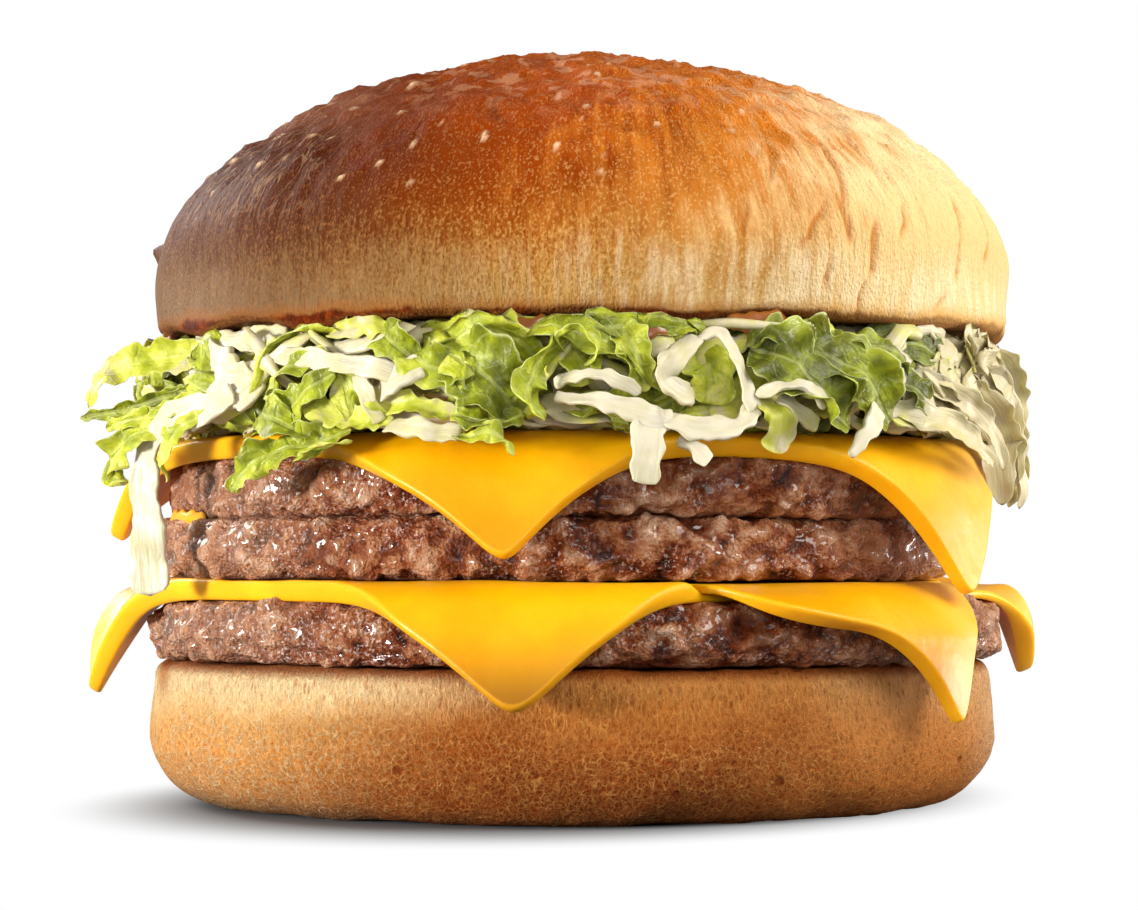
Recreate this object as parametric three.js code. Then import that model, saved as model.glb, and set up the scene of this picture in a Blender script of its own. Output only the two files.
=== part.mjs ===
// A triple cheeseburger, standing on its heel. From the plate up it is the heel of the bun, the lower
// patty with two slices of cheese on it, the middle patty, the upper patty with one slice on it, a heap
// of shredded lettuce and the domed top of the bun.
//
// Frame: millimetres, +Z up, origin in the middle of the heel's flat underside. The front faces -Y.
// Every piece is turned about an upright axis and then pushed out of round, so the code works in rings
// and azimuths: an azimuth is counted from the front (-Y) towards the right (+X).

import * as THREE from "three";

// ---- Driving sizes, in millimetres ------------------------------------------------------------------

const REST_GAP = 0.3; // what a layer leaves free above the one that carries it

const HEEL = { x: 0, radius: 49.3, baseRadius: 40.6, height: 17, bulgeHeight: 8, topRounding: 2.6 };
const PATTY_RIM = 4; // how far a patty's rounded rim reaches in from its outline
const PATTY_LOWER = { x: 0.4, radius: 49.2, thickness: 6.4, seed: 1.3 };
const PATTY_MIDDLE = { x: -1.4, radius: 46.8, thickness: 6.4, seed: 2.1 };
const PATTY_UPPER = { x: -0.8, radius: 47.3, thickness: 6.3, seed: 3.7 };

const SLICE_THICKNESS = 2.5;
const SLICE_PRESSED = 1.0; // between two patties the weight above presses a slice thin
const FOLD_INSET = 3.3; // the fold starts this far inside the patty's outline, where its rim rounds off
const FOLD_LENGTH = 7.5; // along the cheese, from lying flat to its full slope

// A slice is a soft square, about 90 mm along its side, so its corners reach 60 to 64 mm from its middle.
// Corners are listed anticlockwise from above. Each one has its azimuth, its reach from the middle along
// the cheese, and how steeply it hangs. `sides` is how far the side after each corner lies from the
// middle, and `pressed` is its thickness under the layer above. `coveredAt` is 1 where it stays as thin
// as that past its fold, because a second slice lies on it or it thins out towards the first one.
const nowhere = () => 0;
const CHEESE_LOWER = {
  corners: [
    { azimuth: -99, reach: 64.4, hang: 58 },
    { azimuth: -7, reach: 61.5, hang: 72 },
    { azimuth: 100, reach: 60, hang: 68 },
    { azimuth: 175, reach: 63, hang: 66 },
  ],
  sides: [47.2, 43, 46.5, 46.5],
  pressed: SLICE_PRESSED,
  coveredAt: (azimuth) => sector(azimuth, -5, 4, 106, 118),
};
const CHEESE_SIDE = {
  corners: [
    { azimuth: 13, reach: 49.2, hang: 56 },
    { azimuth: 50, reach: 64.5, hang: 76 },
    { azimuth: 102, reach: 43.5, hang: 15 },
    { azimuth: 330, reach: 34, hang: 0 },
  ],
  sides: [54, 43, 36, 33],
  pressed: SLICE_PRESSED,
  coveredAt: (azimuth) => sector(azimuth, -30, -20, 14, 24),
};
const CHEESE_UPPER = {
  corners: [
    { azimuth: -92, reach: 58.4, hang: 60 },
    { azimuth: -7.6, reach: 59.5, hang: 70 },
    { azimuth: 54, reach: 63.4, hang: 70 },
    { azimuth: 152, reach: 60, hang: 64 },
  ],
  sides: [46.4, 47.2, 42.5, 45.5],
  pressed: SLICE_THICKNESS,
  coveredAt: nowhere,
};

// The heap of shreds: its round outline, its height, how far its flat underside reaches, and how thick
// the skirt of hanging shreds is at least, which keeps `clear` of the rim and the cheese behind it.
const LETTUCE = { spread: 49.6, height: 11.3, flat: 44.5, skirt: 1.8, clear: 0.7 };
// Bunches of shreds that stick out of the heap or hang below it: where they are, how wide in degrees to
// either side, how far past the round outline they reach, and how far below the underside they hang.
const BUNCHES = [
  { azimuth: -99, width: 13, reach: 4.6, hang: 3.5 },
  { azimuth: -86, width: 10, reach: 3.6, hang: 8 },
  { azimuth: -66, width: 8, reach: 1.2, hang: 20.5 },
  { azimuth: -44, width: 9, reach: 1.2, hang: 6.0 },
  { azimuth: 9, width: 7, reach: 3.6, hang: 5.6 },
  { azimuth: 36, width: 8, reach: 1.0, hang: 2.0 },
  { azimuth: 99, width: 13, reach: 0.6, hang: 9.5 },
  { azimuth: 128, width: 13, reach: 2.4, hang: 5.0 },
  { azimuth: 196, width: 14, reach: 3.0, hang: 4.5 },
  { azimuth: 228, width: 11, reach: 4.2, hang: 7.0 },
];

const TOP_BUN = { x: 1.1, radius: 50.6, rimRise: 7.5, domeRise: 25.6, fullness: 1.83, rimFlat: 45.5 };

// Heights of the layers' undersides, from the plate up.
const LEVEL = {};
LEVEL.pattyLower = HEEL.height + REST_GAP;
LEVEL.cheeseLower = LEVEL.pattyLower + PATTY_LOWER.thickness + REST_GAP;
LEVEL.cheeseSide = LEVEL.cheeseLower + SLICE_PRESSED + REST_GAP;
LEVEL.pattyMiddle = LEVEL.cheeseSide + SLICE_PRESSED + REST_GAP;
LEVEL.pattyUpper = LEVEL.pattyMiddle + PATTY_MIDDLE.thickness + REST_GAP;
LEVEL.cheeseUpper = LEVEL.pattyUpper + PATTY_UPPER.thickness + REST_GAP;
LEVEL.lettuce = LEVEL.cheeseUpper + SLICE_THICKNESS + REST_GAP;
LEVEL.topBun = LEVEL.lettuce + LETTUCE.height + REST_GAP;

// ---- Small helpers ----------------------------------------------------------------------------------

const radians = THREE.MathUtils.degToRad;
const mix = THREE.MathUtils.lerp;
const smooth = THREE.MathUtils.smoothstep;

// A wavy number between about -1 and 1 that closes on itself round the axis: waves of `from` to `to`
// turns, each leaning with the height, with phases spread by the seed.
function ripple(azimuth, height, from, to, seed) {
  let sum = 0;
  for (let turns = from; turns <= to; turns++) {
    sum += Math.sin(turns * azimuth + seed * turns * turns + 0.45 * height * Math.sin(seed * turns));
  }
  return sum / Math.sqrt(to - from + 1);
}

// How far `azimuth` (in radians) lies past the direction `from` (in degrees), from -180 to 180 degrees.
function degreesPast(azimuth, from) {
  return THREE.MathUtils.euclideanModulo(THREE.MathUtils.radToDeg(azimuth) - from + 180, 360) - 180;
}

// 1 between the azimuths `full` and `fade` (in degrees), going smoothly to 0 at `start` and `end`.
function sector(azimuth, start, full, fade, end) {
  const degrees = degreesPast(azimuth, 0);
  return smooth(degrees, start, full) * (1 - smooth(degrees, fade, end));
}

// A hump of height 1 at `middle` degrees that fades out over `width` degrees to either side.
function hump(azimuth, middle, width) {
  return 1 - smooth(Math.abs(degreesPast(azimuth, middle)), 0, width);
}

// A closed body: `profile` ([radius, height] from the lower pole to the upper one) is turned on a lathe,
// and each vertex then moves to the [radius, azimuth, height] that `shape` gives for it.
function turned(profile, segments, shape) {
  const points = profile.map(([radius, height]) => new THREE.Vector2(radius, height));
  const geometry = new THREE.LatheGeometry(points, segments).rotateX(Math.PI / 2);
  const position = geometry.getAttribute("position");
  for (let i = 0; i < position.count; i++) {
    const x = position.getX(i);
    const y = position.getY(i);
    const [radius, azimuth, height] = shape(Math.hypot(x, y), Math.atan2(x, -y), position.getZ(i));
    position.setXYZ(i, radius * Math.sin(azimuth), -radius * Math.cos(azimuth), height);
  }
  geometry.computeVertexNormals();
  return geometry;
}

const burger = new THREE.Group();

function addPiece(name, geometry, color, roughness, x, z) {
  const material = new THREE.MeshStandardMaterial({ color, roughness, metalness: 0 });
  const mesh = new THREE.Mesh(geometry, material);
  mesh.name = name;
  mesh.position.set(x, 0, z);
  burger.add(mesh);
}

// ---- Heel of the bun --------------------------------------------------------------------------------

// Flat underneath, a quarter ellipse up to the widest line, then a slight lean in to the cut top.
function heelGeometry() {
  const { radius, baseRadius, height, bulgeHeight, topRounding } = HEEL;
  const profile = [[0, 0], [baseRadius, 0]];
  for (const turn of [20, 42, 66, 90]) {
    const angle = radians(turn);
    profile.push([
      baseRadius + (radius - baseRadius) * Math.sin(angle),
      bulgeHeight * (1 - Math.cos(angle)),
    ]);
  }
  const shoulder = radius - 0.7;
  profile.push([shoulder, height - topRounding]);
  for (const turn of [35, 65, 90]) {
    const angle = radians(turn);
    profile.push([
      shoulder - topRounding * (1 - Math.cos(angle)),
      height - topRounding * (1 - Math.sin(angle)),
    ]);
  }
  profile.push([0, height]);
  return turned(profile, 56, (r, azimuth, z) => {
    const uneven = 0.5 * ripple(azimuth, 0, 2, 6, 4.4) * smooth(r, 30, radius);
    return [r + uneven, azimuth, z];
  });
}

// ---- Patties ----------------------------------------------------------------------------------------

// A disc of minced beef with a rounded, lumpy rim. Its faces stay flat where the layers rest on it.
function pattyGeometry({ radius, thickness, seed }) {
  const flat = radius - PATTY_RIM;
  const profile = [[0, 0]];
  for (const turn of [-90, -55, -25, 0, 25, 55, 90]) {
    const angle = radians(turn);
    profile.push([flat + PATTY_RIM * Math.cos(angle), (thickness / 2) * (1 + Math.sin(angle))]);
  }
  profile.push([0, thickness]);
  return turned(profile, 52, (r, azimuth, z) => {
    const rim = smooth(r, flat, radius);
    const outline = 0.45 * ripple(azimuth, 0, 2, 5, seed);
    const lumps = 0.5 * ripple(azimuth, z, 11, 17, seed + 1);
    return [r + rim * (outline + lumps), azimuth, z];
  });
}

// ---- Cheese slices ----------------------------------------------------------------------------------

// Where quarter turn `turn` (0 to 4) of a slice lies: its azimuth, how far the cheese reaches there, and
// how steeply its end hangs. A side is straight, so its distance grows as 1 / cosine towards a corner.
function sliceOutline({ corners, sides }, turn) {
  const quarter = Math.floor(turn) % 4;
  const share = turn - Math.floor(turn);
  const from = corners[quarter];
  const to = corners[(quarter + 1) % 4];
  const span = THREE.MathUtils.euclideanModulo(to.azimuth - from.azimuth, 360);
  const corner = share < 0.5 ? from : to;
  const off = Math.abs(2 * share - 1);
  const towardsCorner = (1 / Math.cos(off * Math.PI / 4) - 1) / (Math.SQRT2 - 1);
  return {
    azimuth: radians(from.azimuth + share * span),
    reach: mix(sides[quarter], corner.reach, towardsCorner),
    hang: radians(mix(from.hang, to.hang, smooth(share, 0.2, 0.8))),
  };
}

// The point `along` mm from the slice's middle on its underside, as [radius, drop, slope]. The cheese
// lies flat to the patty's edge and turns down over the fold, without getting longer or shorter.
function drape(along, edge, hang) {
  let radius = Math.min(along, edge);
  let drop = 0;
  let slope = 0;
  const steps = 12;
  const step = Math.max(along - edge, 0) / steps;
  for (let i = 0; i < steps; i++) {
    slope = hang * smooth((i + 0.5) * step, 0, FOLD_LENGTH);
    radius += step * Math.cos(slope);
    drop += step * Math.sin(slope);
  }
  return [radius, drop, slope];
}

// Rings of a slice's face: up to 0.5 they share out the part that lies flat, and from there to 1 what
// hangs past the fold, so that the fold is always round.
const SLICE_RINGS = [0.462, 0.5, 0.58, 0.66, 0.75, 0.86, 1];

function ringDistance(ring, edge, reach) {
  const flat = Math.min(edge, reach - 3);
  return ring < 0.5 ? 2 * ring * flat : mix(flat, reach, 2 * ring - 1);
}

// Both faces of the slice use the same rings, the lower ones at height 0 and the upper ones at height 1.
function sliceGeometry(slice, patty) {
  const lower = SLICE_RINGS.map((ring) => [ring, 0]);
  const upper = SLICE_RINGS.map((ring) => [ring, 1]).reverse();
  const profile = [[0, 0], ...lower, ...upper, [0, 1]];
  return turned(profile, 40, (ring, lathe, face) => {
    const turn = THREE.MathUtils.euclideanModulo(lathe / (Math.PI / 2), 4);
    const { azimuth, reach, hang } = sliceOutline(slice, turn);
    const edge = patty.radius - FOLD_INSET;
    const along = ringDistance(ring, edge, reach);
    const [radius, drop, slope] = drape(along, edge, hang);
    const swollen = mix(edge - 3.5, edge + 4, slice.coveredAt(azimuth));
    const thickness = face * mix(slice.pressed, SLICE_THICKNESS, smooth(along, swollen, swollen + 5));
    return [radius + thickness * Math.sin(slope), azimuth, thickness * Math.cos(slope) - drop];
  });
}

// ---- Lettuce ----------------------------------------------------------------------------------------

// Where a bunch hangs it has to pass outside the patty's rim and the cheese that hangs there.
function skirtInside(azimuth) {
  const nearby = 4; // degrees to either side
  let outside = PATTY_UPPER.radius + 1.2;
  for (let turn = 0; turn < 4; turn += 0.05) {
    const slice = sliceOutline(CHEESE_UPPER, turn);
    if (Math.abs(degreesPast(azimuth, THREE.MathUtils.radToDeg(slice.azimuth))) < nearby) {
      const [radius, , slope] = drape(slice.reach, PATTY_UPPER.radius - FOLD_INSET, slice.hang);
      outside = Math.max(outside, radius + SLICE_THICKNESS * Math.sin(slope));
    }
  }
  return outside + LETTUCE.clear;
}

// The heap is a thick pad out to the uneven line where the shreds end. In the profile the radius is a
// share: up to 1 it is inside the flat underside, and from 1.1 to 2 it crosses the skirt to the outline.
// The height is a share of the heap's height, and -1 is the lower end of the hanging shreds.
function lettuceGeometry() {
  const { height, spread, flat, skirt } = LETTUCE;
  const profile = [
    [0, 0], [0.6, 0], [1, 0], [1.05, 0], [1.1, -1], [2, -1],
    [2.05, 0.45], [1.95, 0.85], [1.5, 1], [0.6, 1], [0, 1],
  ];
  return turned(profile, 80, (share, azimuth, level) => {
    let reach = 0;
    let hang = 0;
    let bunched = 0;
    for (const bunch of BUNCHES) {
      const near = hump(azimuth, bunch.azimuth, bunch.width);
      reach += bunch.reach * near;
      hang = Math.max(hang, bunch.hang * near);
      bunched = Math.max(bunched, hump(azimuth, bunch.azimuth, bunch.width + 6));
    }
    const inside = mix(flat + 2.1, skirtInside(azimuth), smooth(bunched, 0, 0.35));
    const outline = spread + 0.7 * ripple(azimuth, 0, 5, 13, 0.8) + reach;
    const outside = Math.max(outline, inside + skirt);
    const r = share < 1.02 ? share * flat : mix(inside, outside, Math.max(share - 1.1, 0) / 0.9);
    const z = level < -0.5 ? 0.6 - hang : level * height;
    return [r, azimuth, z];
  });
}

// ---- Top of the bun ---------------------------------------------------------------------------------

// A flat cut face, an upright rim and a dome with the outline of a superellipse.
function topBunGeometry() {
  const { radius, rimRise, domeRise, fullness, rimFlat } = TOP_BUN;
  const profile = [[0, 0], [rimFlat, 0], [48.8, 0.2], [49.9, 1.6], [radius, rimRise]];
  for (const turn of [12, 24, 36, 48, 59, 69, 78, 85]) {
    const angle = radians(turn);
    profile.push([
      radius * Math.cos(angle) ** (2 / fullness),
      rimRise + domeRise * Math.sin(angle) ** (2 / fullness),
    ]);
  }
  profile.push([0, rimRise + domeRise]);
  return turned(profile, 60, (r, azimuth, z) => {
    const outer = smooth(r, 8, 36);
    const uneven = outer * (0.35 * ripple(azimuth, z, 2, 5, 2.6) + 0.3 * ripple(azimuth, 0, 9, 15, 5.2));
    const rimWave = 0.4 * ripple(azimuth, 0, 5, 11, 1.9) * smooth(r, 47, 49.5) * (1 - smooth(z, 0, 4));
    return [r + uneven, azimuth, z + Math.max(rimWave, -REST_GAP / 2)];
  });
}

// ---- The burger, from the plate up ------------------------------------------------------------------

addPiece("bun_heel", heelGeometry(), 0xc98a48, 0.85, HEEL.x, 0);
addPiece("patty_lower", pattyGeometry(PATTY_LOWER), 0x5a3222, 0.5, PATTY_LOWER.x, LEVEL.pattyLower);
addPiece("cheese_lower", sliceGeometry(CHEESE_LOWER, PATTY_LOWER), 0xf7b90b, 0.35, 0.4, LEVEL.cheeseLower);
addPiece("cheese_side", sliceGeometry(CHEESE_SIDE, PATTY_LOWER), 0xf7b90b, 0.35, 0.4, LEVEL.cheeseSide);
addPiece("patty_middle", pattyGeometry(PATTY_MIDDLE), 0x5a3222, 0.5, PATTY_MIDDLE.x, LEVEL.pattyMiddle);
addPiece("patty_upper", pattyGeometry(PATTY_UPPER), 0x5a3222, 0.5, PATTY_UPPER.x, LEVEL.pattyUpper);
addPiece("cheese_upper", sliceGeometry(CHEESE_UPPER, PATTY_UPPER), 0xf7b90b, 0.35, -0.4, LEVEL.cheeseUpper);
addPiece("lettuce_heap", lettuceGeometry(), 0xb9cf6a, 0.6, 0, LEVEL.lettuce);
addPiece("bun_top", topBunGeometry(), 0xb5601c, 0.45, TOP_BUN.x, LEVEL.topBun);

export default burger;
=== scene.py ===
# %% [markdown]
# # A triple cheeseburger, layer by layer
#
# The frame holds nine plain solids: the heel of the bun, three patties, three slices of cheese, a heap of
# lettuce and the domed top. They say how big each layer is and where it lies. This script gives every
# layer its real surface. Each one is a formula on a grid: rows go up the outline, columns go round the
# burger, and numpy works out all the points at once.

# %% Load the frame
import itertools
import math
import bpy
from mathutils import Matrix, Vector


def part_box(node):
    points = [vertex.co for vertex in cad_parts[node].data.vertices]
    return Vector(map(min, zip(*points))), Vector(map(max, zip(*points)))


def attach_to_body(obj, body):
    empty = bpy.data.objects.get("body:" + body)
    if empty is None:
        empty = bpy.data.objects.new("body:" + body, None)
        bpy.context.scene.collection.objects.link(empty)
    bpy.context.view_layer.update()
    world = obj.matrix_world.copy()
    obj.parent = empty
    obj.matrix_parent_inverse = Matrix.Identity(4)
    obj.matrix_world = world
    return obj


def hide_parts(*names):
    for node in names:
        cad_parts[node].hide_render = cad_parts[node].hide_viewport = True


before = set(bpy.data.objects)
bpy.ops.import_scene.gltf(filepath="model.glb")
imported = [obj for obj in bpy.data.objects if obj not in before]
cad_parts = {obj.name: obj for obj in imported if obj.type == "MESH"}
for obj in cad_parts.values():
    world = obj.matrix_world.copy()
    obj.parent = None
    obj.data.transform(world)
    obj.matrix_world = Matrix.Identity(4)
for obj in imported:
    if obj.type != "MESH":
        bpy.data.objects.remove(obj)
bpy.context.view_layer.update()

from types import SimpleNamespace

import bpy
import numpy as np
from mathutils import Vector

# %% Measure the layers
MM = 0.001  # the formulas below are in millimetres, Blender is in metres


def layer(node):
    """Where a layer lies, in millimetres: its middle, its mean radius, its underside and its top."""
    low, high = (np.array(corner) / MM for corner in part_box(node))
    x, y, _ = (low + high) / 2
    return SimpleNamespace(x=x, y=y, radius=(high - low)[:2].mean() / 2, low=low[2], high=high[2])


heel, top_bun = layer("bun_heel"), layer("bun_top")
patties = {name: layer(name) for name in ("patty_lower", "patty_middle", "patty_upper")}
print(f"heel {2 * heel.radius:.0f} mm across, top of the bun at {top_bun.high:.0f} mm")

# %% [markdown]
# ## Camera and light
#
# A burger looks tall when the lens is near the table, so the camera stands 30 mm above it, 0.44 m away,
# with a long lens, and looks up a little. One large soft light high on the right gives the shadow to the
# left. Small low ones on both sides reach in under the dome, one behind on the left picks out the edge of
# the crust and the wet beef, and a weak wide one in front fills the gaps.

# %% Point a camera at the burger
EYE = Vector((-0.0006, -0.435, 0.0299))
LOOK_UP = math.radians(1.44)
SENSOR = 36
LENS = 115.9

camera_data = bpy.data.cameras.new("camera")
camera_data.sensor_width = SENSOR
camera_data.lens = LENS
camera = bpy.data.objects.new("camera", camera_data)
camera.location = EYE
camera.rotation_euler = (math.pi / 2 + LOOK_UP, 0, 0)
bpy.context.scene.collection.objects.link(camera)
bpy.context.scene.camera = camera
bpy.context.scene.view_settings.view_transform = "Standard"


# %% Set up the lights
def soft_light(name, azimuth, height, distance, size, watts, tint=(1, 1, 1)):
    """A rectangle of light, `azimuth` degrees from the front towards the right, aimed at the burger."""
    aim = Vector((0, 0, 0.045))
    angle = math.radians(azimuth)
    data = bpy.data.lights.new(name, "AREA")
    data.shape = "RECTANGLE"
    data.size, data.size_y = size
    data.energy = watts
    data.color = tint
    light = bpy.data.objects.new(name, data)
    light.location = (distance * math.sin(angle), -distance * math.cos(angle), height)
    light.rotation_euler = (aim - light.location).to_track_quat("-Z", "Y").to_euler()
    bpy.context.scene.collection.objects.link(light)


soft_light("key", 66, 0.40, 0.62, (0.46, 0.40), 5.8, (1, 0.97, 0.92))
soft_light("left_low", -58, 0.05, 0.50, (0.10, 0.08), 3.4, (1, 0.98, 0.95))
soft_light("right_low", 104, 0.04, 0.55, (0.20, 0.10), 1.3, (1, 0.98, 0.96))
soft_light("back_left", -132, 0.42, 0.70, (0.30, 0.30), 3.0, (1, 0.96, 0.92))
soft_light("front_fill", 8, 0.22, 0.90, (0.60, 0.30), 1.7)


# %% Fill the surroundings with white
def white_surroundings(dim):
    """A world that the camera sees as plain white, and that lights the burger `dim` times as strongly."""
    world = bpy.data.worlds.new("studio")
    world.use_nodes = True
    tree = world.node_tree
    seen = tree.nodes.new("ShaderNodeLightPath").outputs["Is Camera Ray"]
    strength = tree.nodes.new("ShaderNodeMapRange")
    strength.inputs["To Min"].default_value = dim
    strength.inputs["To Max"].default_value = 1.0
    tree.links.new(seen, strength.inputs["Value"])
    background = tree.nodes["Background"]
    background.inputs["Color"].default_value = (1, 1, 1, 1)
    tree.links.new(strength.outputs["Result"], background.inputs["Strength"])
    return world


bpy.context.scene.world = white_surroundings(dim=0.34)


# %% [markdown]
# ## From formulas to meshes
#
# Every piece is a grid of points. A helper joins neighbouring points into faces. A body that is turned
# round the upright axis closes on itself sideways, and its first and last rows shrink to one point each,
# so the mesh has no seam and no open end.

# %% Join points into a mesh
def mesh_piece(name, points, *face_arrays):
    """A smooth-shaded object at the origin, from points in millimetres and arrays of faces."""
    mesh = bpy.data.meshes.new(name)
    mesh.vertices.add(len(points))
    mesh.vertices.foreach_set("co", (points * MM).astype(np.float32).ravel())
    corners = np.concatenate([faces.ravel() for faces in face_arrays]).astype(np.int32)
    sizes = np.concatenate([np.full(len(faces), faces.shape[1]) for faces in face_arrays])
    mesh.loops.add(len(corners))
    mesh.loops.foreach_set("vertex_index", corners)
    mesh.polygons.add(len(sizes))
    mesh.polygons.foreach_set("loop_start", (np.cumsum(sizes) - sizes).astype(np.int32))
    mesh.polygons.foreach_set("use_smooth", np.ones(len(sizes), bool))
    mesh.update(calc_edges=True)
    mesh.validate()
    piece = bpy.data.objects.new(name, mesh)
    bpy.context.scene.collection.objects.link(piece)
    print(f"{name}: {len(points)} points, {int((sizes - 2).sum())} triangles")
    return piece


def round_faces(rows, columns):
    """Faces of a closed turned body whose points are: lower pole, the rows between, upper pole."""
    inner = 1 + np.arange((rows - 2) * columns).reshape(rows - 2, columns)
    after = np.roll(inner, -1, axis=1)
    quads = np.stack([inner[:-1], after[:-1], after[1:], inner[1:]], -1).reshape(-1, 4)
    lower_pole = np.zeros(columns, int)
    upper_pole = np.full(columns, 1 + inner.size)
    lower = np.stack([lower_pole, after[0], inner[0]], -1)
    upper = np.stack([upper_pole, inner[-1], after[-1]], -1)
    return quads, lower, upper


def pole_points(grid):
    """The rows of a grid as one list of points, with the first and the last row shrunk to one point."""
    middle = grid[1:-1].reshape(-1, grid.shape[-1])
    return np.vstack([grid[0].mean(0), middle, grid[-1].mean(0)])


def turned_piece(name, grid, **attributes):
    """A closed body from a grid of points (rows from the lower pole up, columns anticlockwise)."""
    piece = mesh_piece(name, pole_points(grid), *round_faces(*grid.shape[:2]))
    for key, values in attributes.items():
        attach(piece, key, pole_points(np.atleast_3d(values)))
    return piece


def attach(piece, key, values):
    """Keeps one number, or a vector, for each point of a mesh, where a material can read it."""
    kind, field = ("FLOAT", "value") if values.shape[-1] == 1 else ("FLOAT_VECTOR", "vector")
    attribute = piece.data.attributes.new(key, kind, "POINT")
    attribute.data.foreach_set(field, values.astype(np.float32).ravel())


# %% Turn an outline round the axis
def smooth_step(value, low, high):
    """0 below `low`, 1 above `high`, and 3t^2 - 2t^3 between them."""
    t = np.clip((value - low) / (high - low), 0, 1)
    return t * t * (3 - 2 * t)


def mix(a, b, share):
    """From `a` at a share of 0 to `b` at 1, in proportion."""
    return a + (b - a) * share


def azimuths(columns):
    """Directions round the burger in radians, from the front (-Y) towards the right (+X)."""
    return np.arange(columns) * 2 * np.pi / columns


def turn_outline(outline, azimuth):
    """Radius and height for each row and column, from an outline given as rows of [radius, height]."""
    radius = np.repeat(outline[:, :1], len(azimuth), axis=1)
    height = np.repeat(outline[:, 1:], len(azimuth), axis=1)
    return radius, height


def squared_off(wave, power):
    """A sine or cosine with its round shape squared off: its sign times its size to a power."""
    return np.sign(wave) * np.abs(wave) ** power


def place(radius, azimuth, height, x=0.0, y=0.0):
    """Points from radius, azimuth and height, round an upright axis through (x, y)."""
    return np.stack([x + radius * np.sin(azimuth), y - radius * np.cos(azimuth), height], -1)


def outward(grid):
    """Unit normals of a turned grid: the step round the burger crossed with the step up the outline."""
    around = np.roll(grid, -1, axis=1) - np.roll(grid, 1, axis=1)
    normal = np.cross(around, np.gradient(grid, axis=0))
    return normal / np.maximum(np.linalg.norm(normal, axis=-1, keepdims=True), 1e-9)


def flow_of(outline, azimuth, reference=50):
    """Coordinates that follow the surface: the direction on a ring of 50 mm, and the way up the outline.
    Patterns in them run up the crust like creases. Nearer than 34 mm to the axis the ring shrinks to
    nothing, so that they don't crowd at the top."""
    steps = np.linalg.norm(np.diff(outline, axis=0), axis=1)
    along = np.concatenate([[0], np.cumsum(steps)])
    ring = reference * np.sin((outline[:, :1] / 34).clip(0, 1) * np.pi / 2)
    return np.stack([ring * np.sin(azimuth), -ring * np.cos(azimuth),
                     along[:, None] * np.ones(len(azimuth))], -1)


# %% [markdown]
# ## Uneven by formula
#
# Food is never smooth. Three kinds of unevenness are enough for all of it: waves that close on
# themselves round the burger, soft lumps (gradient noise) and packed grains (cell noise). All three take
# whole arrays of points and a seed, so every run gives the same burger.

# %% Waves, lumps and grains
def ripple(azimuth, height, lowest, highest, seed):
    """The sum of sines of `lowest` to `highest` turns, each leaning with the height."""
    turns = np.arange(lowest, highest + 1)
    lean = 0.45 * np.asarray(height)[..., None] * np.sin(seed * turns)
    waves = np.sin(np.asarray(azimuth)[..., None] * turns + seed * turns**2 + lean)
    return waves.sum(-1) / math.sqrt(len(turns))


def hashed(cell, seed):
    """A number from 0 to 255 for each cube of space, the same in every run."""
    shuffle = np.random.default_rng(seed).permutation(256)
    x, y, z = (cell[..., axis] % 256 for axis in range(3))
    return shuffle[(shuffle[(shuffle[x] + y) % 256] + z) % 256]


def lumps(points, size, seed):
    """Gradient noise from -1 to 1 with lumps `size` mm across. Each corner of a cube of space holds a
    random direction. A point takes its dot products with them, faded by 6t^5 - 15t^4 + 10t^3."""
    directions = np.random.default_rng(seed + 1000).normal(size=(256, 3))
    directions /= np.linalg.norm(directions, axis=1, keepdims=True)
    spot = points / size
    cell = np.floor(spot).astype(int)
    inside = spot - cell
    fade = inside**3 * (inside * (inside * 6 - 15) + 10)
    total = np.zeros(points.shape[:-1])
    for corner in itertools.product((0, 1), repeat=3):
        weight = np.prod(np.where(corner, fade, 1 - fade), axis=-1)
        slope = directions[hashed(cell + corner, seed)]
        total += weight * (slope * (inside - corner)).sum(-1)
    return 1.7 * total


def rough_lumps(points, size, seed, octaves=4, keep=0.5):
    """Lumps with ever smaller lumps on them, each octave half the size and `keep` times the height."""
    return sum(keep**k * lumps(points, size / 2**k, seed + k) for k in range(octaves))


def grains(points, size, seed):
    """Packed grains about `size` mm across, one random seed point to each cube of space. Returns the
    distances to the nearest and the second nearest seed point, in grains, and the nearest one's tone."""
    scatter = np.random.default_rng(seed + 2000).random((256, 3))
    tones = np.random.default_rng(seed + 3000).random(256)
    spot = points / size
    cell = np.floor(spot).astype(int)
    nearest = np.full(points.shape[:-1], 9.0)
    second = nearest.copy()
    tone = np.zeros(points.shape[:-1])
    for offset in itertools.product((-1, 0, 1), repeat=3):
        mark = hashed(cell + offset, seed)
        distance = np.linalg.norm(cell + offset + scatter[mark] - spot, axis=-1)
        closer = distance < nearest
        second = np.where(closer, nearest, np.minimum(second, distance))
        tone = np.where(closer, tones[mark], tone)
        nearest = np.where(closer, distance, nearest)
    return nearest, second, tone


# %% [markdown]
# ## Shaders from small parts
#
# A material is built from a few node helpers. Patterns that several materials share, such as the net of
# bubbles in a crust, are node groups with named inputs.

# %% Node helpers
def colour(code):
    """A linear colour from a six digit hexadecimal screen colour."""
    channels = [int(code[k:k + 2], 16) / 255 for k in (1, 3, 5)]
    linear = [c / 12.92 if c <= 0.04045 else ((c + 0.055) / 1.055) ** 2.4 for c in channels]
    return (*linear, 1.0)


def add_node(tree, kind, inputs=None, **settings):
    """Adds a node. An input given as a socket is linked, anything else is set as its value."""
    node = tree.nodes.new("ShaderNode" + kind)
    for key, value in settings.items():
        setattr(node, key, value)
    for key, value in (inputs or {}).items():
        if isinstance(value, bpy.types.NodeSocket):
            tree.links.new(value, node.inputs[key])
        else:
            node.inputs[key].default_value = value
    return node


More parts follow.
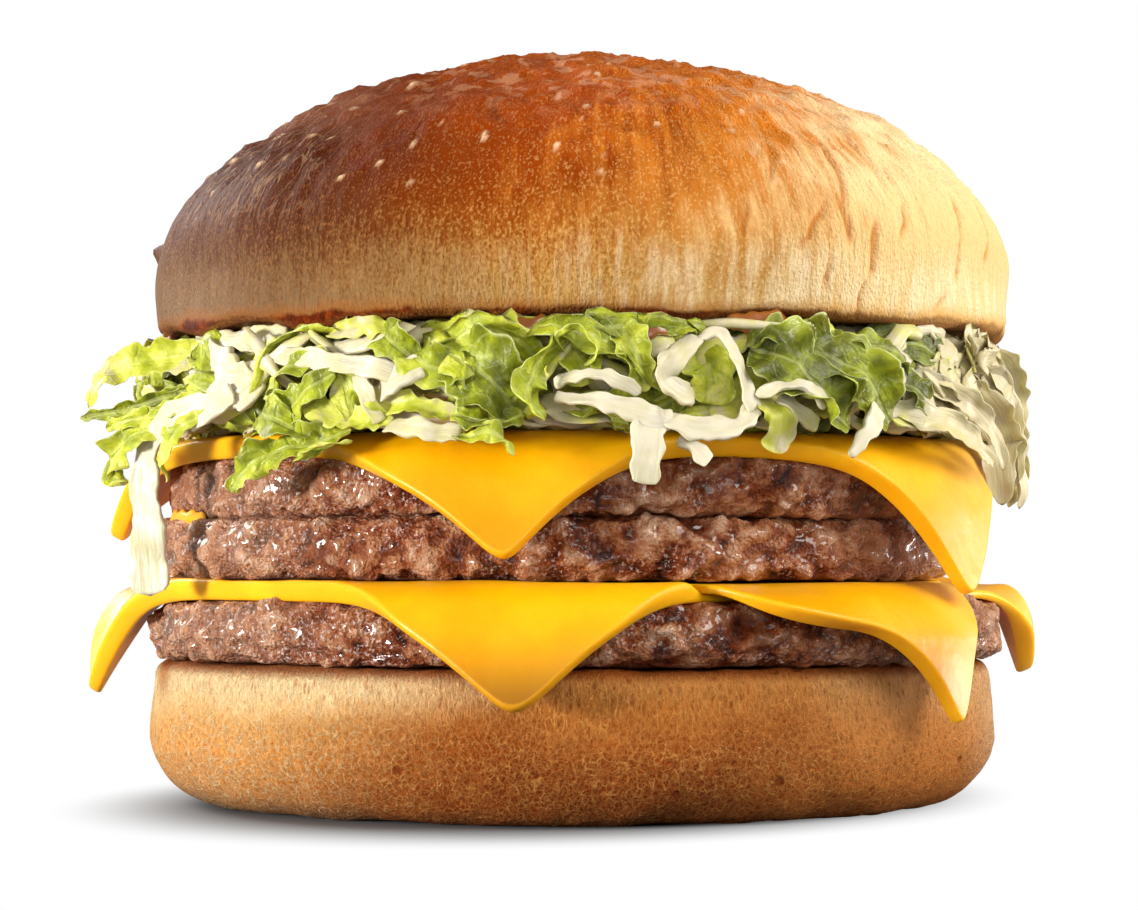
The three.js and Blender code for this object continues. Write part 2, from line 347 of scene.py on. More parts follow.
def calculate(tree, operation, a, b=0.0):
    """One Math node: `a` and `b` under the operation that Blender names in capitals."""
    return add_node(tree, "Math", {0: a, 1: b}, operation=operation).outputs[0]


def plus(tree, a, b):
    """a + b, as a node."""
    return calculate(tree, "ADD", a, b)


def minus(tree, a, b):
    """a - b, as a node."""
    return calculate(tree, "SUBTRACT", a, b)


def times(tree, a, b):
    """a times b, as a node."""
    return calculate(tree, "MULTIPLY", a, b)


def remap(tree, value, low, high, to_low=0.0, to_high=1.0, smooth=True):
    """Carries `low` to `to_low` and `high` to `to_high`, with soft ends, and holds both beyond them."""
    kind = "SMOOTHSTEP" if smooth else "LINEAR"
    inputs = {"Value": value, "From Min": low, "From Max": high, "To Min": to_low, "To Max": to_high}
    return add_node(tree, "MapRange", inputs, interpolation_type=kind).outputs["Result"]


def blend(tree, share, a, b):
    """`a` where the share is 0 and `b` where it is 1. A colour is a socket or a screen colour."""
    a, b = (colour(tone) if isinstance(tone, str) else tone for tone in (a, b))
    return add_node(tree, "Mix", {0: share, 6: a, 7: b}, data_type="RGBA").outputs[2]


def ramp(tree, value, *stops):
    """A colour ramp from pairs of position and screen colour."""
    node = add_node(tree, "ValToRGB", {"Fac": value})
    elements = node.color_ramp.elements
    while len(elements) < len(stops):
        elements.new(0.5)
    for element, (position, code) in zip(elements, stops):
        element.position = position
        element.color = colour(code)
    return node.outputs["Color"]


def noise(tree, vector, size, detail=3.0, roughness=0.55, distortion=0.0):
    """Soft noise from 0 to 1 with features about `size` mm across, on coordinates in metres."""
    inputs = {"Vector": vector, "Scale": 0.6 / (size * MM), "Detail": detail, "Roughness": roughness,
              "Distortion": distortion}
    return add_node(tree, "TexNoise", inputs).outputs["Fac"]


def object_place(tree):
    """Where a point lies in its object, in metres."""
    return add_node(tree, "TexCoord").outputs["Object"]


def axis_of(tree, vector, axis):
    """One part of a vector: "X", "Y" or "Z"."""
    return add_node(tree, "SeparateXYZ", {"Vector": vector}).outputs[axis]


def kept(tree, key, kind="Fac"):
    """What a mesh keeps for each point under a key: a number, or with "Vector" three."""
    return add_node(tree, "Attribute", attribute_name=key).outputs[kind]


def height_above(tree, level):
    """The height of a point above a level given in millimetres, in millimetres."""
    return minus(tree, times(tree, axis_of(tree, object_place(tree), "Z"), 1 / MM), level)


def bump(tree, height, depth, strength=1.0):
    """Bends the normal by a height from 0 to 1 that stands for `depth` millimetres."""
    inputs = {"Height": height, "Distance": depth * MM, "Strength": strength}
    return add_node(tree, "Bump", inputs).outputs["Normal"]


def new_material(name, **constants):
    """A material with one Principled BSDF, and its constant inputs set."""
    material = bpy.data.materials.new(name)
    material.use_nodes = True
    tree = material.node_tree
    shader = tree.nodes["Principled BSDF"]
    for key, value in constants.items():
        shader.inputs[key.replace("_", " ")].default_value = value
    return material, tree, shader


def new_group(name, vectors, numbers, outputs):
    """An empty shader node group: its tree, and its input and output nodes. The inputs are the named
    vectors and the numbers with their usual values, and all the outputs are numbers."""
    tree = bpy.data.node_groups.new(name, "ShaderNodeTree")
    for key in vectors:
        tree.interface.new_socket(key, in_out="INPUT", socket_type="NodeSocketVector")
    for key, value in numbers.items():
        socket = tree.interface.new_socket(key, in_out="INPUT", socket_type="NodeSocketFloat")
        socket.default_value = value
    for key in outputs:
        tree.interface.new_socket(key, in_out="OUTPUT", socket_type="NodeSocketFloat")
    return tree, tree.nodes.new("NodeGroupInput"), tree.nodes.new("NodeGroupOutput")


def use_group(tree, group, **inputs):
    """Places a group in a material and returns its outputs."""
    return add_node(tree, "Group", inputs, node_tree=group).outputs


def finish_piece(piece, node, material):
    """Gives a piece its material, hides the CAD node that it stands in for, and lets it ride on the burger.
    """
    piece.data.materials.append(material)
    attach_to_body(piece, "root")
    if node:
        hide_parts(node)


# %% The net of bubbles in a crust
def crumb_net_group():
    """Voronoi cells of two sizes on coordinates that rough noise has shifted. Lines is 1 on the walls
    between bubbles, which fade out in places, and Pits is 1 in the middle of a bubble."""
    tree, start, end = new_group("crumb_net", ["Vector"], {"Size": 0.8, "Bend": 0.4}, ["Lines", "Pits"])
    scale = calculate(tree, "DIVIDE", 1 / MM, start.outputs["Size"])
    spot = add_node(tree, "VectorMath", {0: start.outputs["Vector"], "Scale": scale}, operation="SCALE")
    rough = {"Vector": spot.outputs[0], "Scale": 1.3, "Detail": 5.0, "Roughness": 0.68}
    wobble = add_node(tree, "TexNoise", rough)
    centred = add_node(tree, "VectorMath", {0: wobble.outputs["Color"], 1: (0.5, 0.5, 0.5)},
                       operation="SUBTRACT")
    shift = add_node(tree, "VectorMath", {0: centred.outputs[0], "Scale": start.outputs["Bend"]},
                     operation="SCALE")
    bent = add_node(tree, "VectorMath", {0: spot.outputs[0], 1: shift.outputs[0]}, operation="ADD")
    edges = [add_node(tree, "TexVoronoi", {"Vector": bent.outputs[0], "Scale": step},
                      feature="DISTANCE_TO_EDGE").outputs["Distance"] for step in (1.0, 2.1)]
    fading = add_node(tree, "TexNoise", {"Vector": spot.outputs[0], "Scale": 0.8, "Detail": 3.0})
    strong = remap(tree, fading.outputs["Fac"], 0.38, 0.62, 0.25, 1.0)
    coarse = times(tree, remap(tree, edges[0], 0.0, 0.14, 1.0, 0.0), strong)
    fine = times(tree, remap(tree, edges[1], 0.0, 0.2, 1.0, 0.0), 0.5)
    tree.links.new(calculate(tree, "MAXIMUM", coarse, fine), end.inputs["Lines"])
    tree.links.new(remap(tree, edges[0], 0.1, 0.42), end.inputs["Pits"])
    return tree


crumb_net = crumb_net_group()

# %% [markdown]
# ## The heel of the bun
#
# The heel is a thick disc of bread with a browned belly. Its outline is a flat underside, a quarter
# ellipse up to the widest line, a wall that leans in a little and a rounded top edge. Lumps, dimples and
# a fine net of burst bubbles are pushed out of that surface along its normals, because they show at the
# outline, and the shader repeats the net at a finer scale.

# %% Outlines from stretches
def outline_of(*stretches):
    """One outline, as rows of [radius, height], from stretches that are each an array or a number."""
    return np.vstack([np.stack(np.broadcast_arrays(*map(np.atleast_1d, part)), -1) for part in stretches])


def arc(start, end, count):
    """Even steps from one angle to another, given in degrees and returned in radians."""
    return np.radians(np.linspace(start, end, count))


# %% Shape the heel
HEEL_BASE = 0.824 * heel.radius  # how far the flat underside reaches
HEEL_BULGE = 8.0  # the height of the widest line
HEEL_ROUNDING = 2.4
HEEL_COLUMNS = 840


def heel_grid(azimuth):
    """The heel's plain surface, and the outline that it was turned from."""
    turn, corner = arc(0, 90, 54), arc(0, 90, 16)
    shoulder = heel.radius - 0.3
    outline = outline_of(
        (np.linspace(0, HEEL_BASE, 9)[:-1], 0.0),
        (HEEL_BASE + (heel.radius - HEEL_BASE) * np.sin(turn), HEEL_BULGE * (1 - np.cos(turn))),
        (np.linspace(heel.radius, shoulder, 27)[1:-1],
         np.linspace(HEEL_BULGE, heel.high - HEEL_ROUNDING, 27)[1:-1]),
        (shoulder - HEEL_ROUNDING * (1 - np.cos(corner)), heel.high - HEEL_ROUNDING * (1 - np.sin(corner))),
        (np.linspace(shoulder - HEEL_ROUNDING, 0, 10)[1:], heel.high))
    radius, height = turn_outline(outline, azimuth)
    radius = radius + 0.5 * ripple(azimuth, 0, 2, 6, 4.4) * smooth_step(radius, 30, heel.radius)
    return place(radius, azimuth, height, heel.x, heel.y), outline


def heel_relief(grid):
    """How far the crust stands out: broad lumps, dimples, and walls of bubbles of about 1 mm."""
    bent = grid + 0.5 * np.stack([rough_lumps(grid, 1.6, 17 + k, octaves=2) for k in range(3)], -1)
    nearest, second, _ = grains(bent * (1, 1, 0.7), 1.15, 12)
    walls = 1 - smooth_step(second - nearest, 0.0, 0.4)
    broad = 0.30 * rough_lumps(grid, 12, 11, octaves=3)
    return broad + 0.10 * lumps(grid, 3.2, 15) + 0.06 * walls - 0.15


heel_around = azimuths(HEEL_COLUMNS)
heel_points, heel_profile = heel_grid(heel_around)
heel_skin = smooth_step(heel_profile[:, :1], 34, 44)
heel_points = heel_points + outward(heel_points) * (heel_skin * heel_relief(heel_points))[..., None]
heel_points[..., 2] = np.maximum(heel_points[..., 2], 0)
heel_flow = flow_of(heel_profile, heel_around)
heel_piece = turned_piece("bun_heel_crust", heel_points, flow=heel_flow)


# %% [markdown]
# The heel's colour goes by height: nearly burnt where it met the oven's tray, golden in the middle and
# pale under the top edge, where the bread was not yet dry. Both ends are painted paler than the front,
# as painted light from the sides, the middle of the front is painted darker, as painted shade, and the
# far right end has a painted pale rim of light. The top edge itself is dark and soaked by the beef, with
# one scorched patch on the left. The walls of the bubbles are paler than the pits between them, and near
# the top the net is drawn out upwards.

# %% Colour the heel
def stretched_flow(tree, share):
    """The flow coordinates in metres, with the way up the outline scaled by `share`."""
    flow = kept(tree, "flow", "Vector")
    return add_node(tree, "Mapping", {"Vector": flow, "Scale": (MM, MM, share * MM)}).outputs["Vector"]


def heel_places(tree):
    """Where a point of the heel lies. The level is its height in millimetres, made uneven by soft noise,
    and `leftward` goes from 0 to 1 towards the left end, sooner higher up."""
    spot = object_place(tree)
    x = axis_of(tree, spot, "X")
    patches = minus(tree, noise(tree, spot, 9), 0.5)
    level = plus(tree, times(tree, patches, 8.0), height_above(tree, 0))
    sideways = plus(tree, times(tree, patches, 0.03), x)
    sooner = minus(tree, sideways, remap(tree, level, 9.0, 15.0, 0.0, 0.014))
    leftward = remap(tree, sooner, -0.044, -0.012, 1.0, 0.0)
    return SimpleNamespace(spot=spot, x=x, level=level, sideways=sideways, leftward=leftward)


def heel_tones(tree, at):
    """The crust's colour by height: golden in front, painted light on the right (the lit ramp) and on the
    left (the pale ramp), painted shade in the middle of the front, and a painted pale rim at the far right.
    """
    share = calculate(tree, "DIVIDE", at.level, heel.high)
    golden = ramp(tree, share, (0.0, "#742802"), (0.12, "#8c3402"), (0.36, "#883402"), (0.6, "#9a4508"),
                  (0.8, "#b86c28"), (0.97, "#c48446"))
    lit = ramp(tree, share, (0.0, "#aa521a"), (0.12, "#b65e1e"), (0.36, "#c06c2a"), (0.6, "#cc8040"),
               (0.8, "#d69a60"), (0.97, "#dcaa74"))
    pale = ramp(tree, share, (0.0, "#642c06"), (0.12, "#cc7c2c"), (0.36, "#e89230"), (0.6, "#e09c44"),
                (0.8, "#e9c48c"), (0.97, "#e2bd8c"))
    # painted light: the lit ramp lightens the right side, and the pale ramp lightens the left (see the
    # return below)
    baked = blend(tree, remap(tree, at.sideways, 0.012, 0.038), golden, lit)
    # painted shade: the middle of the front is darkened
    central_painted_shade = remap(tree, calculate(tree, "ABSOLUTE", at.sideways), 0.002, 0.016, 0.5, 0.0)
    central_painted_shade = times(tree, central_painted_shade, remap(tree, at.level, 11.0, 16.0, 1.0, 0.0))
    baked = blend(tree, central_painted_shade, baked, "#6e2400")
    # painted light: a pale rim of light at the far right end
    baked = blend(tree, remap(tree, at.x, 0.0425, 0.0505, 0.0, 0.8), baked, "#e6c096")
    return blend(tree, at.leftward, baked, pale)


# %% Net, holes and edge of the heel
def heel_net(tree, at):
    """How much of a wall and of a pit each point is, from a round net low down and a long one above."""
    low_net = use_group(tree, crumb_net, Vector=stretched_flow(tree, 1.0), Size=0.86, Bend=1.1)
    high_net = use_group(tree, crumb_net, Vector=stretched_flow(tree, 0.36), Size=0.6, Bend=0.8)
    higher = remap(tree, at.level, 8.0, 14.0)
    return [add_node(tree, "Mix", {0: higher, 2: low_net[key], 3: high_net[key]}).outputs[0]
            for key in ("Lines", "Pits")]


def netted_crust(tree, at, baked, fibre):
    """The crust's colour with dark pits and pale walls, and the walls themselves."""
    lines, pits = heel_net(tree, at)
    pit_share = times(tree, pits, remap(tree, fibre, 0.4, 0.66, 0.95, 0.25))
    # the pits and the walls are also painted paler on the left, with the painted light there
    pit = blend(tree, at.leftward, "#661f00", "#a84c04")
    deep = blend(tree, pit_share, baked, blend(tree, 0.85, baked, pit))
    strands = times(tree, lines, remap(tree, fibre, 0.34, 0.5, 0.4, 1.0))
    thread = blend(tree, at.leftward, "#e29c4e", "#ffe4b0")
    return blend(tree, strands, deep, blend(tree, 0.85, baked, thread)), lines


def heel_material():
    """Tones, net, a few holes, the scorched patch and the soaked edge, one over the other."""
    material, tree, shader = new_material("toasted_heel", Roughness=0.75, Specular_IOR_Level=0.08)
    at = heel_places(tree)
    fibre = noise(tree, stretched_flow(tree, 0.7), 0.27, detail=4, roughness=0.65)
    crust, lines = netted_crust(tree, at, heel_tones(tree, at), fibre)
    holes = add_node(tree, "TexVoronoi", {"Vector": at.spot, "Scale": 1 / (5.5 * MM)})
    sparse = add_node(tree, "SeparateColor", {0: holes.outputs["Color"]}).outputs[0]
    hole = times(tree, remap(tree, holes.outputs["Distance"], 0.08, 0.15, 1.0, 0.0),
                 calculate(tree, "GREATER_THAN", sparse, 0.6))
    crust = blend(tree, times(tree, hole, 0.8), crust, "#8a3609")
    beside = calculate(tree, "ABSOLUTE", minus(tree, at.x, -0.047))
    scorched = times(tree, remap(tree, beside, 0.0002, 0.0015, 0.7, 0.0), remap(tree, at.level, 11.5, 16.0))
    crust = blend(tree, scorched, crust, "#b0601c")
    soaked = remap(tree, height_above(tree, heel.high - 0.9), -0.9, 0.6, 0.0, 0.9)
    tree.links.new(blend(tree, soaked, crust, "#8f4310"), shader.inputs["Base Color"])
    relief = plus(tree, times(tree, fibre, 0.9), lines)
    relief = minus(tree, relief, times(tree, hole, 1.5))
    tree.links.new(bump(tree, relief, 0.3, 1.0), shader.inputs["Normal"])
    tree.links.new(remap(tree, lines, 0, 1, 0.85, 0.6), shader.inputs["Roughness"])
    return material


finish_piece(heel_piece, "bun_heel", heel_material())


# %% [markdown]
# ## The top of the bun
#
# The top is a dome with a flat cut face. Its outline is the cut face, a small rounding, a nearly upright
# rim and a superellipse. The crust has creases that run down from the middle of the dome like
# meridians, so they are lumps in the flow coordinates, stretched along the way up. A few bubbles of
# dough stand out as pale blisters.

# %% Shape the dome
DOME_RIM = 7.5
DOME_FULLNESS = 1.85
DOME_COLUMNS = 820
CUT_RADIUS = 48.4
CUT_ROUNDING = 1.7
dome_radius = top_bun.radius - 0.35
dome_rise = top_bun.high - top_bun.low - DOME_RIM


def dome_grid(azimuth):
    """r = R cos(t)^(2/n) and z = rim + H sin(t)^(2/n) above an upright rim, n being the fullness."""
    corner, turn = arc(-90, 0, 12), arc(0, 90, 78)[1:]
    power = 2 / DOME_FULLNESS
    foot = CUT_RADIUS + CUT_ROUNDING
    outline = outline_of(
        (np.linspace(0, CUT_RADIUS, 12)[:-1], 0.0),
        (CUT_RADIUS + CUT_ROUNDING * np.cos(corner), CUT_ROUNDING * (1 + np.sin(corner))),
        (foot + (dome_radius - foot) * np.sin(arc(0, 90, 17)[1:]),
         np.linspace(CUT_ROUNDING, DOME_RIM, 17)[1:]),
        (dome_radius * np.cos(turn).clip(0) ** power, DOME_RIM + dome_rise * np.sin(turn) ** power))
    radius, height = turn_outline(outline, azimuth)
    waves = 0.35 * ripple(azimuth, height, 2, 5, 2.6) + 0.3 * ripple(azimuth, 0, 9, 15, 5.2)
    radius = radius + smooth_step(radius, 8, 36) * waves
    return place(radius, azimuth, height + top_bun.low, top_bun.x, top_bun.y), outline


# %% Cracks and relief of the dome
# Cracks are (azimuth at the lower end, at the upper end, rise of the lower and the upper end, width), in
# degrees and millimetres.
CRACKS = [(19.5, 21, 8, 12.5, 1.3), (27, 32, 7.5, 13, 1.5), (34.5, 37.5, 12, 21, 1.2),
          (34.5, 34, 8, 13, 1.5), (37.5, 39.5, 4.5, 11.5, 1.5), (36, 37.5, 0.2, 5, 0.6),
          (43, 45.5, 9, 13.5, 1.1), (55, 59, 5, 15, 1.0), (45, 48, 15.5, 18.5, 0.8), (31, 31, 3, 6.5, 1.1),
          (50, 53, 1.5, 3.8, 1.5), (24, 27, 14, 19, 0.9), (64, 70, 7, 17, 1.1), (75, 80, 4, 12, 1.3)]


def dome_creases(grid, flow, azimuth):
    """1 in the cracks that run down the right side of the crust, and in their copies round the back."""
    rise = grid[..., 2] - top_bun.low
    wander = 0.55 * lumps(flow * (1, 1, 0.7), 3, 33) + 0.25 * lumps(flow * (1, 1, 0.8), 1.2, 34)
    cracks = np.zeros_like(rise)
    for low_end, high_end, low, high, width in CRACKS:
        leaning = mix(low_end, high_end, (rise - low) / (high - low))
        window = smooth_step(rise, low - 0.6, low + 1.6) * (1 - smooth_step(rise, high - 2, high + 0.6))
        for middle in (leaning, 180 - leaning, 195 + leaning):
            off = (np.degrees(azimuth) - middle + 180) % 360 - 180
            near = np.abs(np.radians(off) * 50 + wander)
            cracks = np.maximum(cracks, (1 - smooth_step(near, 0.05 * width, 0.45 * width)) * window)
    return cracks


def dome_relief(grid, flow, azimuth, creases):
    """Ridges along the meridians at the sides, flakes and lumps higher up, and the creases pressed in."""
    rise = grid[..., 2] - top_bun.low
    front = np.cos(azimuth) ** 9 * (np.cos(azimuth) > 0)
    sideways = smooth_step(rise, 5, 13) * (1 - 0.8 * front)
    fine = 1 - 2.2 * np.abs(lumps(flow * (1, 1, 0.2), 2.4, 31))
    broad = rough_lumps(grid, 10, 37, octaves=3)
    knobs = smooth_step(lumps(grid, 4.6, 39), 0.0, 0.4) * smooth_step(rise, 13, 24)
    flakes = smooth_step(lumps(grid, 2.4, 38), 0.05, 0.3) * smooth_step(rise, 12, 22)
    spur = np.exp(-((rise - 10.5) / 0.9) ** 2 - ((azimuth - np.radians(268)) * 50 / 1.3) ** 2)
    return (0.2 * (fine - 0.4) * sideways + 0.26 * flakes + 0.5 * knobs - 0.42 * creases + 1.3 * spur
            + broad * mix(0.16, 0.4, smooth_step(rise, 14, 28)))


def blisters_of(grid):
    """1 in the middle of a blister and 0 outside, for some of the grains of a coarse packing."""
    bent = grid + 0.35 * np.stack([lumps(grid, 1.3, 42 + k) for k in range(3)], -1)
    nearest, _, tone = grains(bent, 2.6, 41)
    return (1 - smooth_step(nearest, 0.08, 0.1 + 0.14 * tone)) * (tone > 0.62)


def sagging_edge(azimuth, outline):
    """How far the cut face sags, as a bell-shaped bulge at one place of its edge on the left, and how far
    its edge waves up and down."""
    round_the_edge = (azimuth - np.radians(323)) * 46
    bulge = np.exp(-(round_the_edge / 4.0) ** 2 - ((outline[:, :1] - 45.5) / 3.4) ** 2)
    near_edge = smooth_step(outline[:, :1], 44, 49) * (1 - smooth_step(outline[:, 1:], 0, 5))
    return 3.4 * bulge * (outline[:, 1:] < 2), 0.4 * ripple(azimuth, 0, 5, 21, 1.9) * near_edge


# %% Build the dome
dome_around = azimuths(DOME_COLUMNS)
dome_points, dome_profile = dome_grid(dome_around)
dome_flow = flow_of(dome_profile, dome_around)
dome_blisters = blisters_of(dome_points) * smooth_step(dome_points[..., 2] - top_bun.low, 11, 15)
dome_skin = smooth_step(np.arange(len(dome_profile)), 8, 16)[:, None]
dome_cracks = dome_creases(dome_points, dome_flow, dome_around)
dome_height = dome_skin * dome_relief(dome_points, dome_flow, dome_around, dome_cracks)
dome_height = dome_height + 0.28 * dome_blisters
dome_points = dome_points + outward(dome_points) * dome_height[..., None]
dome_sagging, dome_waving = sagging_edge(dome_around, dome_profile)
dome_points[..., 2] -= dome_sagging
dome_points[..., 2] += dome_waving
dome_piece = turned_piece("bun_top_crust", dome_points, flow=dome_flow, blister=dome_blisters,
                          crease=dome_cracks)


# %% [markdown]
# The glazed crust is darkest high on the left, orange in the middle and pale on the right. The dark left
# is partly browner crust and partly painted shade, and the pale right is partly crust that is paler where
# the dough split and the glaze ran off, and partly painted light from the right; most marks below shift
# from darker on the left to paler on the right in the same way. A soft noise shifts these zones, so their
# borders wander. Along the meridians lie fine grain, pale streaks near the rim and wrinkles on the left.
# The attributes on the mesh say where the cracks and blisters are, and the lower edge is toasted nearly
# black in places.

# %% Places on the dome
def dome_places(tree):
    """Where a point of the dome lies, and the noises that its colours share. The level is the rise above
    the cut face in millimetres. `rightward` is x, made uneven and larger near the rim."""
    spot = object_place(tree)
    x = axis_of(tree, spot, "X")
    cloud = minus(tree, noise(tree, spot, 10, detail=4), 0.5)
    sideways = plus(tree, x, times(tree, cloud, 0.028))
    rise = height_above(tree, top_bun.low)
    level = plus(tree, rise, times(tree, cloud, 8.0))
    grain = noise(tree, stretched_flow(tree, 0.7), 0.18, detail=2, roughness=0.6)
    fibre = noise(tree, stretched_flow(tree, 0.22), 0.28, detail=4)
    streaks = noise(tree, stretched_flow(tree, 0.14), 0.8, detail=4, roughness=0.65)
    patchy = noise(tree, stretched_flow(tree, 0.4), 1.5, detail=4, roughness=0.6)
    uneven = remap(tree, plus(tree, streaks, patchy), 0.7, 1.3, -0.009, 0.009, smooth=False)
    rightward = plus(tree, sideways, remap(tree, level, 9.0, 19.0, 0.007, 0.002))
    return SimpleNamespace(spot=spot, x=x, sideways=sideways, rise=rise, level=level, grain=grain,
                           fibre=fibre, streaks=streaks, rightward=plus(tree, rightward, uneven))


def dome_tones(tree, at):
    """The glaze by height, in four zones from left to right: the left ramp is darkened as painted shade and
    the far right one paled as painted light.
    """
    texture = minus(tree, plus(tree, at.grain, at.fibre), 1.0)
    share = calculate(tree, "DIVIDE", at.level, dome_rise + DOME_RIM)
    share = minus(tree, share, times(tree, texture, 0.42))
    left = ramp(tree, share, (0.0, "#6f563a"), (0.17, "#6a4c2c"), (0.34, "#4a2511"), (0.55, "#401807"),
                (0.8, "#4c1a06"), (1.0, "#622405"))
    middle = ramp(tree, share, (0.04, "#b68c4a"), (0.2, "#a8702e"), (0.33, "#924c0e"), (0.48, "#843400"),
                  (0.8, "#a23f00"), (1.0, "#ac4a04"))
    right = ramp(tree, share, (0.04, "#b8935a"), (0.2, "#b4803c"), (0.35, "#ba742c"), (0.5, "#c47424"),
                 (0.65, "#cf761e"), (0.86, "#d06d12"), (1.0, "#bc5a0c"))
    far_right = ramp(tree, share, (0.04, "#e2c48c"), (0.3, "#e6be80"), (0.5, "#eecd94"), (0.8, "#f2d6a4"),
                     (0.95, "#da7c1e"), (1.0, "#bc5a0c"))
    crust = blend(tree, remap(tree, at.sideways, -0.032, 0.003, 1.0, 0.0), middle, left)
    crust = blend(tree, remap(tree, at.rightward, -0.002, 0.022), crust, right)
    return blend(tree, remap(tree, at.rightward, 0.018, 0.040), crust, far_right)


# %% Grain, streaks and scales on the dome
def grained(tree, at, crust):
    """Light specks and dark grain, and pale streaks low down between them, all paler towards the right with
    the painted light there.
    """
    bright = blend(tree, remap(tree, at.sideways, -0.03, 0.02), "#a05c2c", "#f5c078")
    specks = remap(tree, at.grain, 0.52, 0.66, 0.0, 0.7)
    crust = blend(tree, specks, crust, blend(tree, 0.5, crust, bright))
    low_down = remap(tree, at.level, 4.5, 9.5, 1.0, 0.0)
    band = times(tree, remap(tree, at.streaks, 0.4, 0.66, 0.0, 0.35), low_down)
    band = times(tree, band, remap(tree, at.x, -0.02, 0.015, 0.3, 1.0))
    pale = blend(tree, remap(tree, at.x, -0.02, 0.015), "#b0936c", "#fbeccb")
    crust = blend(tree, band, crust, pale)
    dark = remap(tree, at.grain, 0.3, 0.5, 0.5, 0.0)
    shade = blend(tree, remap(tree, at.rightward, 0.0, 0.024), "#702400", "#c27a26")
    return blend(tree, dark, crust, blend(tree, 0.55, crust, shade))


def scaled(tree, at, crust):
    """A painted sheen high on the left, where light from behind catches the crust, and flakes of glaze
    round the top, paler towards the right.
    """
    # painted sheen: a pinkish tint high on the left stands for light from behind
    painted_sheen = remap(tree, at.sideways, -0.03, -0.016, 0.55, 0.0)
    painted_sheen = times(tree, painted_sheen, remap(tree, at.level, 18.0, 25.0))
    crust = blend(tree, painted_sheen, crust, "#8c5038")
    flakes = remap(tree, noise(tree, at.spot, 1.9, detail=4), 0.52, 0.6, 0.0, 0.5)
    flake = blend(tree, remap(tree, at.x, -0.03, 0.004), "#9a6a48", "#d89e76")
    return blend(tree, times(tree, flakes, remap(tree, at.level, 21.0, 28.0)), crust, flake)


def wrinkles_of(tree, at):
    """1 on thin ridges that run up the left side, where a bent noise passes through its middle value."""
    folds = noise(tree, stretched_flow(tree, 0.3), 1.0, detail=3, distortion=0.5)
    ridge = calculate(tree, "ABSOLUTE", minus(tree, folds, 0.5))
    wrinkled = remap(tree, at.sideways, -0.036, -0.02, 1.0, 0.0)
    wrinkled = times(tree, wrinkled, remap(tree, at.level, 8.0, 15.0))
    return times(tree, remap(tree, ridge, 0.01, 0.045, 1.0, 0.0), wrinkled)


def cracked(tree, at, crust, wrinkle):
    """Wrinkle ridges painted lighter, partly the crust's own colour and partly painted highlights on them,
    cracks that are dark on the left and orange on the right, and pale blisters.
    """
    crust = blend(tree, times(tree, wrinkle, 0.4), crust, "#a9805c")
    crack = blend(tree, remap(tree, at.x, -0.02, 0.012), "#421a08", "#bb6f22")
    crust = blend(tree, times(tree, kept(tree, "crease"), 0.8), crust, crack)
    return blend(tree, times(tree, kept(tree, "blister"), 0.85), crust, "#f0c89c")


# %% Edge and cut face of the dome
def toasted(tree, at, crust):
    """A brown edge with burnt spots, up to an uneven height above the cut face."""
    edge = minus(tree, at.rise, times(tree, noise(tree, at.spot, 3.4, detail=5, roughness=0.6), 3.0))
    brown = blend(tree, remap(tree, at.x, 0.0, 0.045), "#8f5420", "#d99c45")
    crust = blend(tree, remap(tree, edge, -0.9, 1.2, 0.7, 0.0), crust, brown)
    burnt = remap(tree, edge, -1.0, -0.4, 0.95, 0.0)
    burnt = times(tree, burnt, remap(tree, at.x, 0.015, 0.045, 1.0, 0.45))
    toast = ramp(tree, noise(tree, at.spot, 0.9, detail=4), (0.3, "#2c0c02"), (0.5, "#5c1c05"),
                 (0.7, "#94460f"))
    return blend(tree, burnt, crust, toast)


def cut_open(tree, at, crust):
    """The crumb of the cut face, which is where the surface looks down."""
    downwards = axis_of(tree, add_node(tree, "NewGeometry").outputs["Normal"], "Z")
    net = use_group(tree, crumb_net, Vector=at.spot, Size=1.3, Bend=0.9)
    crumb = blend(tree, net["Lines"], "#5a2c12", "#8f5a2c")
    crumb = blend(tree, remap(tree, at.x, 0.02, 0.045, 0.0, 0.8), crumb, "#bd8550")
    return blend(tree, remap(tree, downwards, -0.8, -0.5, 1.0, 0.0), crust, crumb)


# %% Colour the dome
def dome_material():
    """The layers of colour from the glaze out to the cut face, over a relief of grain and wrinkles."""
    material, tree, shader = new_material("glazed_dome", Roughness=0.5)
    at = dome_places(tree)
    wrinkle = wrinkles_of(tree, at)
    crust = scaled(tree, at, grained(tree, at, dome_tones(tree, at)))
    crust = toasted(tree, at, cracked(tree, at, crust, wrinkle))
    tree.links.new(cut_open(tree, at, crust), shader.inputs["Base Color"])
    relief = plus(tree, times(tree, at.grain, 0.9), at.fibre)
    relief = plus(tree, relief, times(tree, wrinkle, 0.8))
    tree.links.new(bump(tree, relief, 0.32, 0.95), shader.inputs["Normal"])
    tree.links.new(remap(tree, at.grain, 0.3, 0.7, 0.45, 0.62), shader.inputs["Roughness"])
    tree.links.new(remap(tree, at.x, -0.044, -0.028, 0.25, 0.03), shader.inputs["Specular IOR Level"])
    return material


finish_piece(dome_piece, "bun_top", dome_material())


# %% [markdown]
# ## Three patties
#
# Minced beef that was pressed flat and seared. The strands of mince show as lumps 2 to 4 mm wide with
# deep creases between them, so the rim is a packing of grains on bent coordinates. The height of each
# point is kept on the mesh, and the shader paints shade into the creases and light onto the tops.

# %% Shape a patty
PATTY_RIM = 4.0
PATTY_COLUMNS = 860
PATTY_SEEDS = {"patty_lower": 1.3, "patty_middle": 2.1, "patty_upper": 3.7}


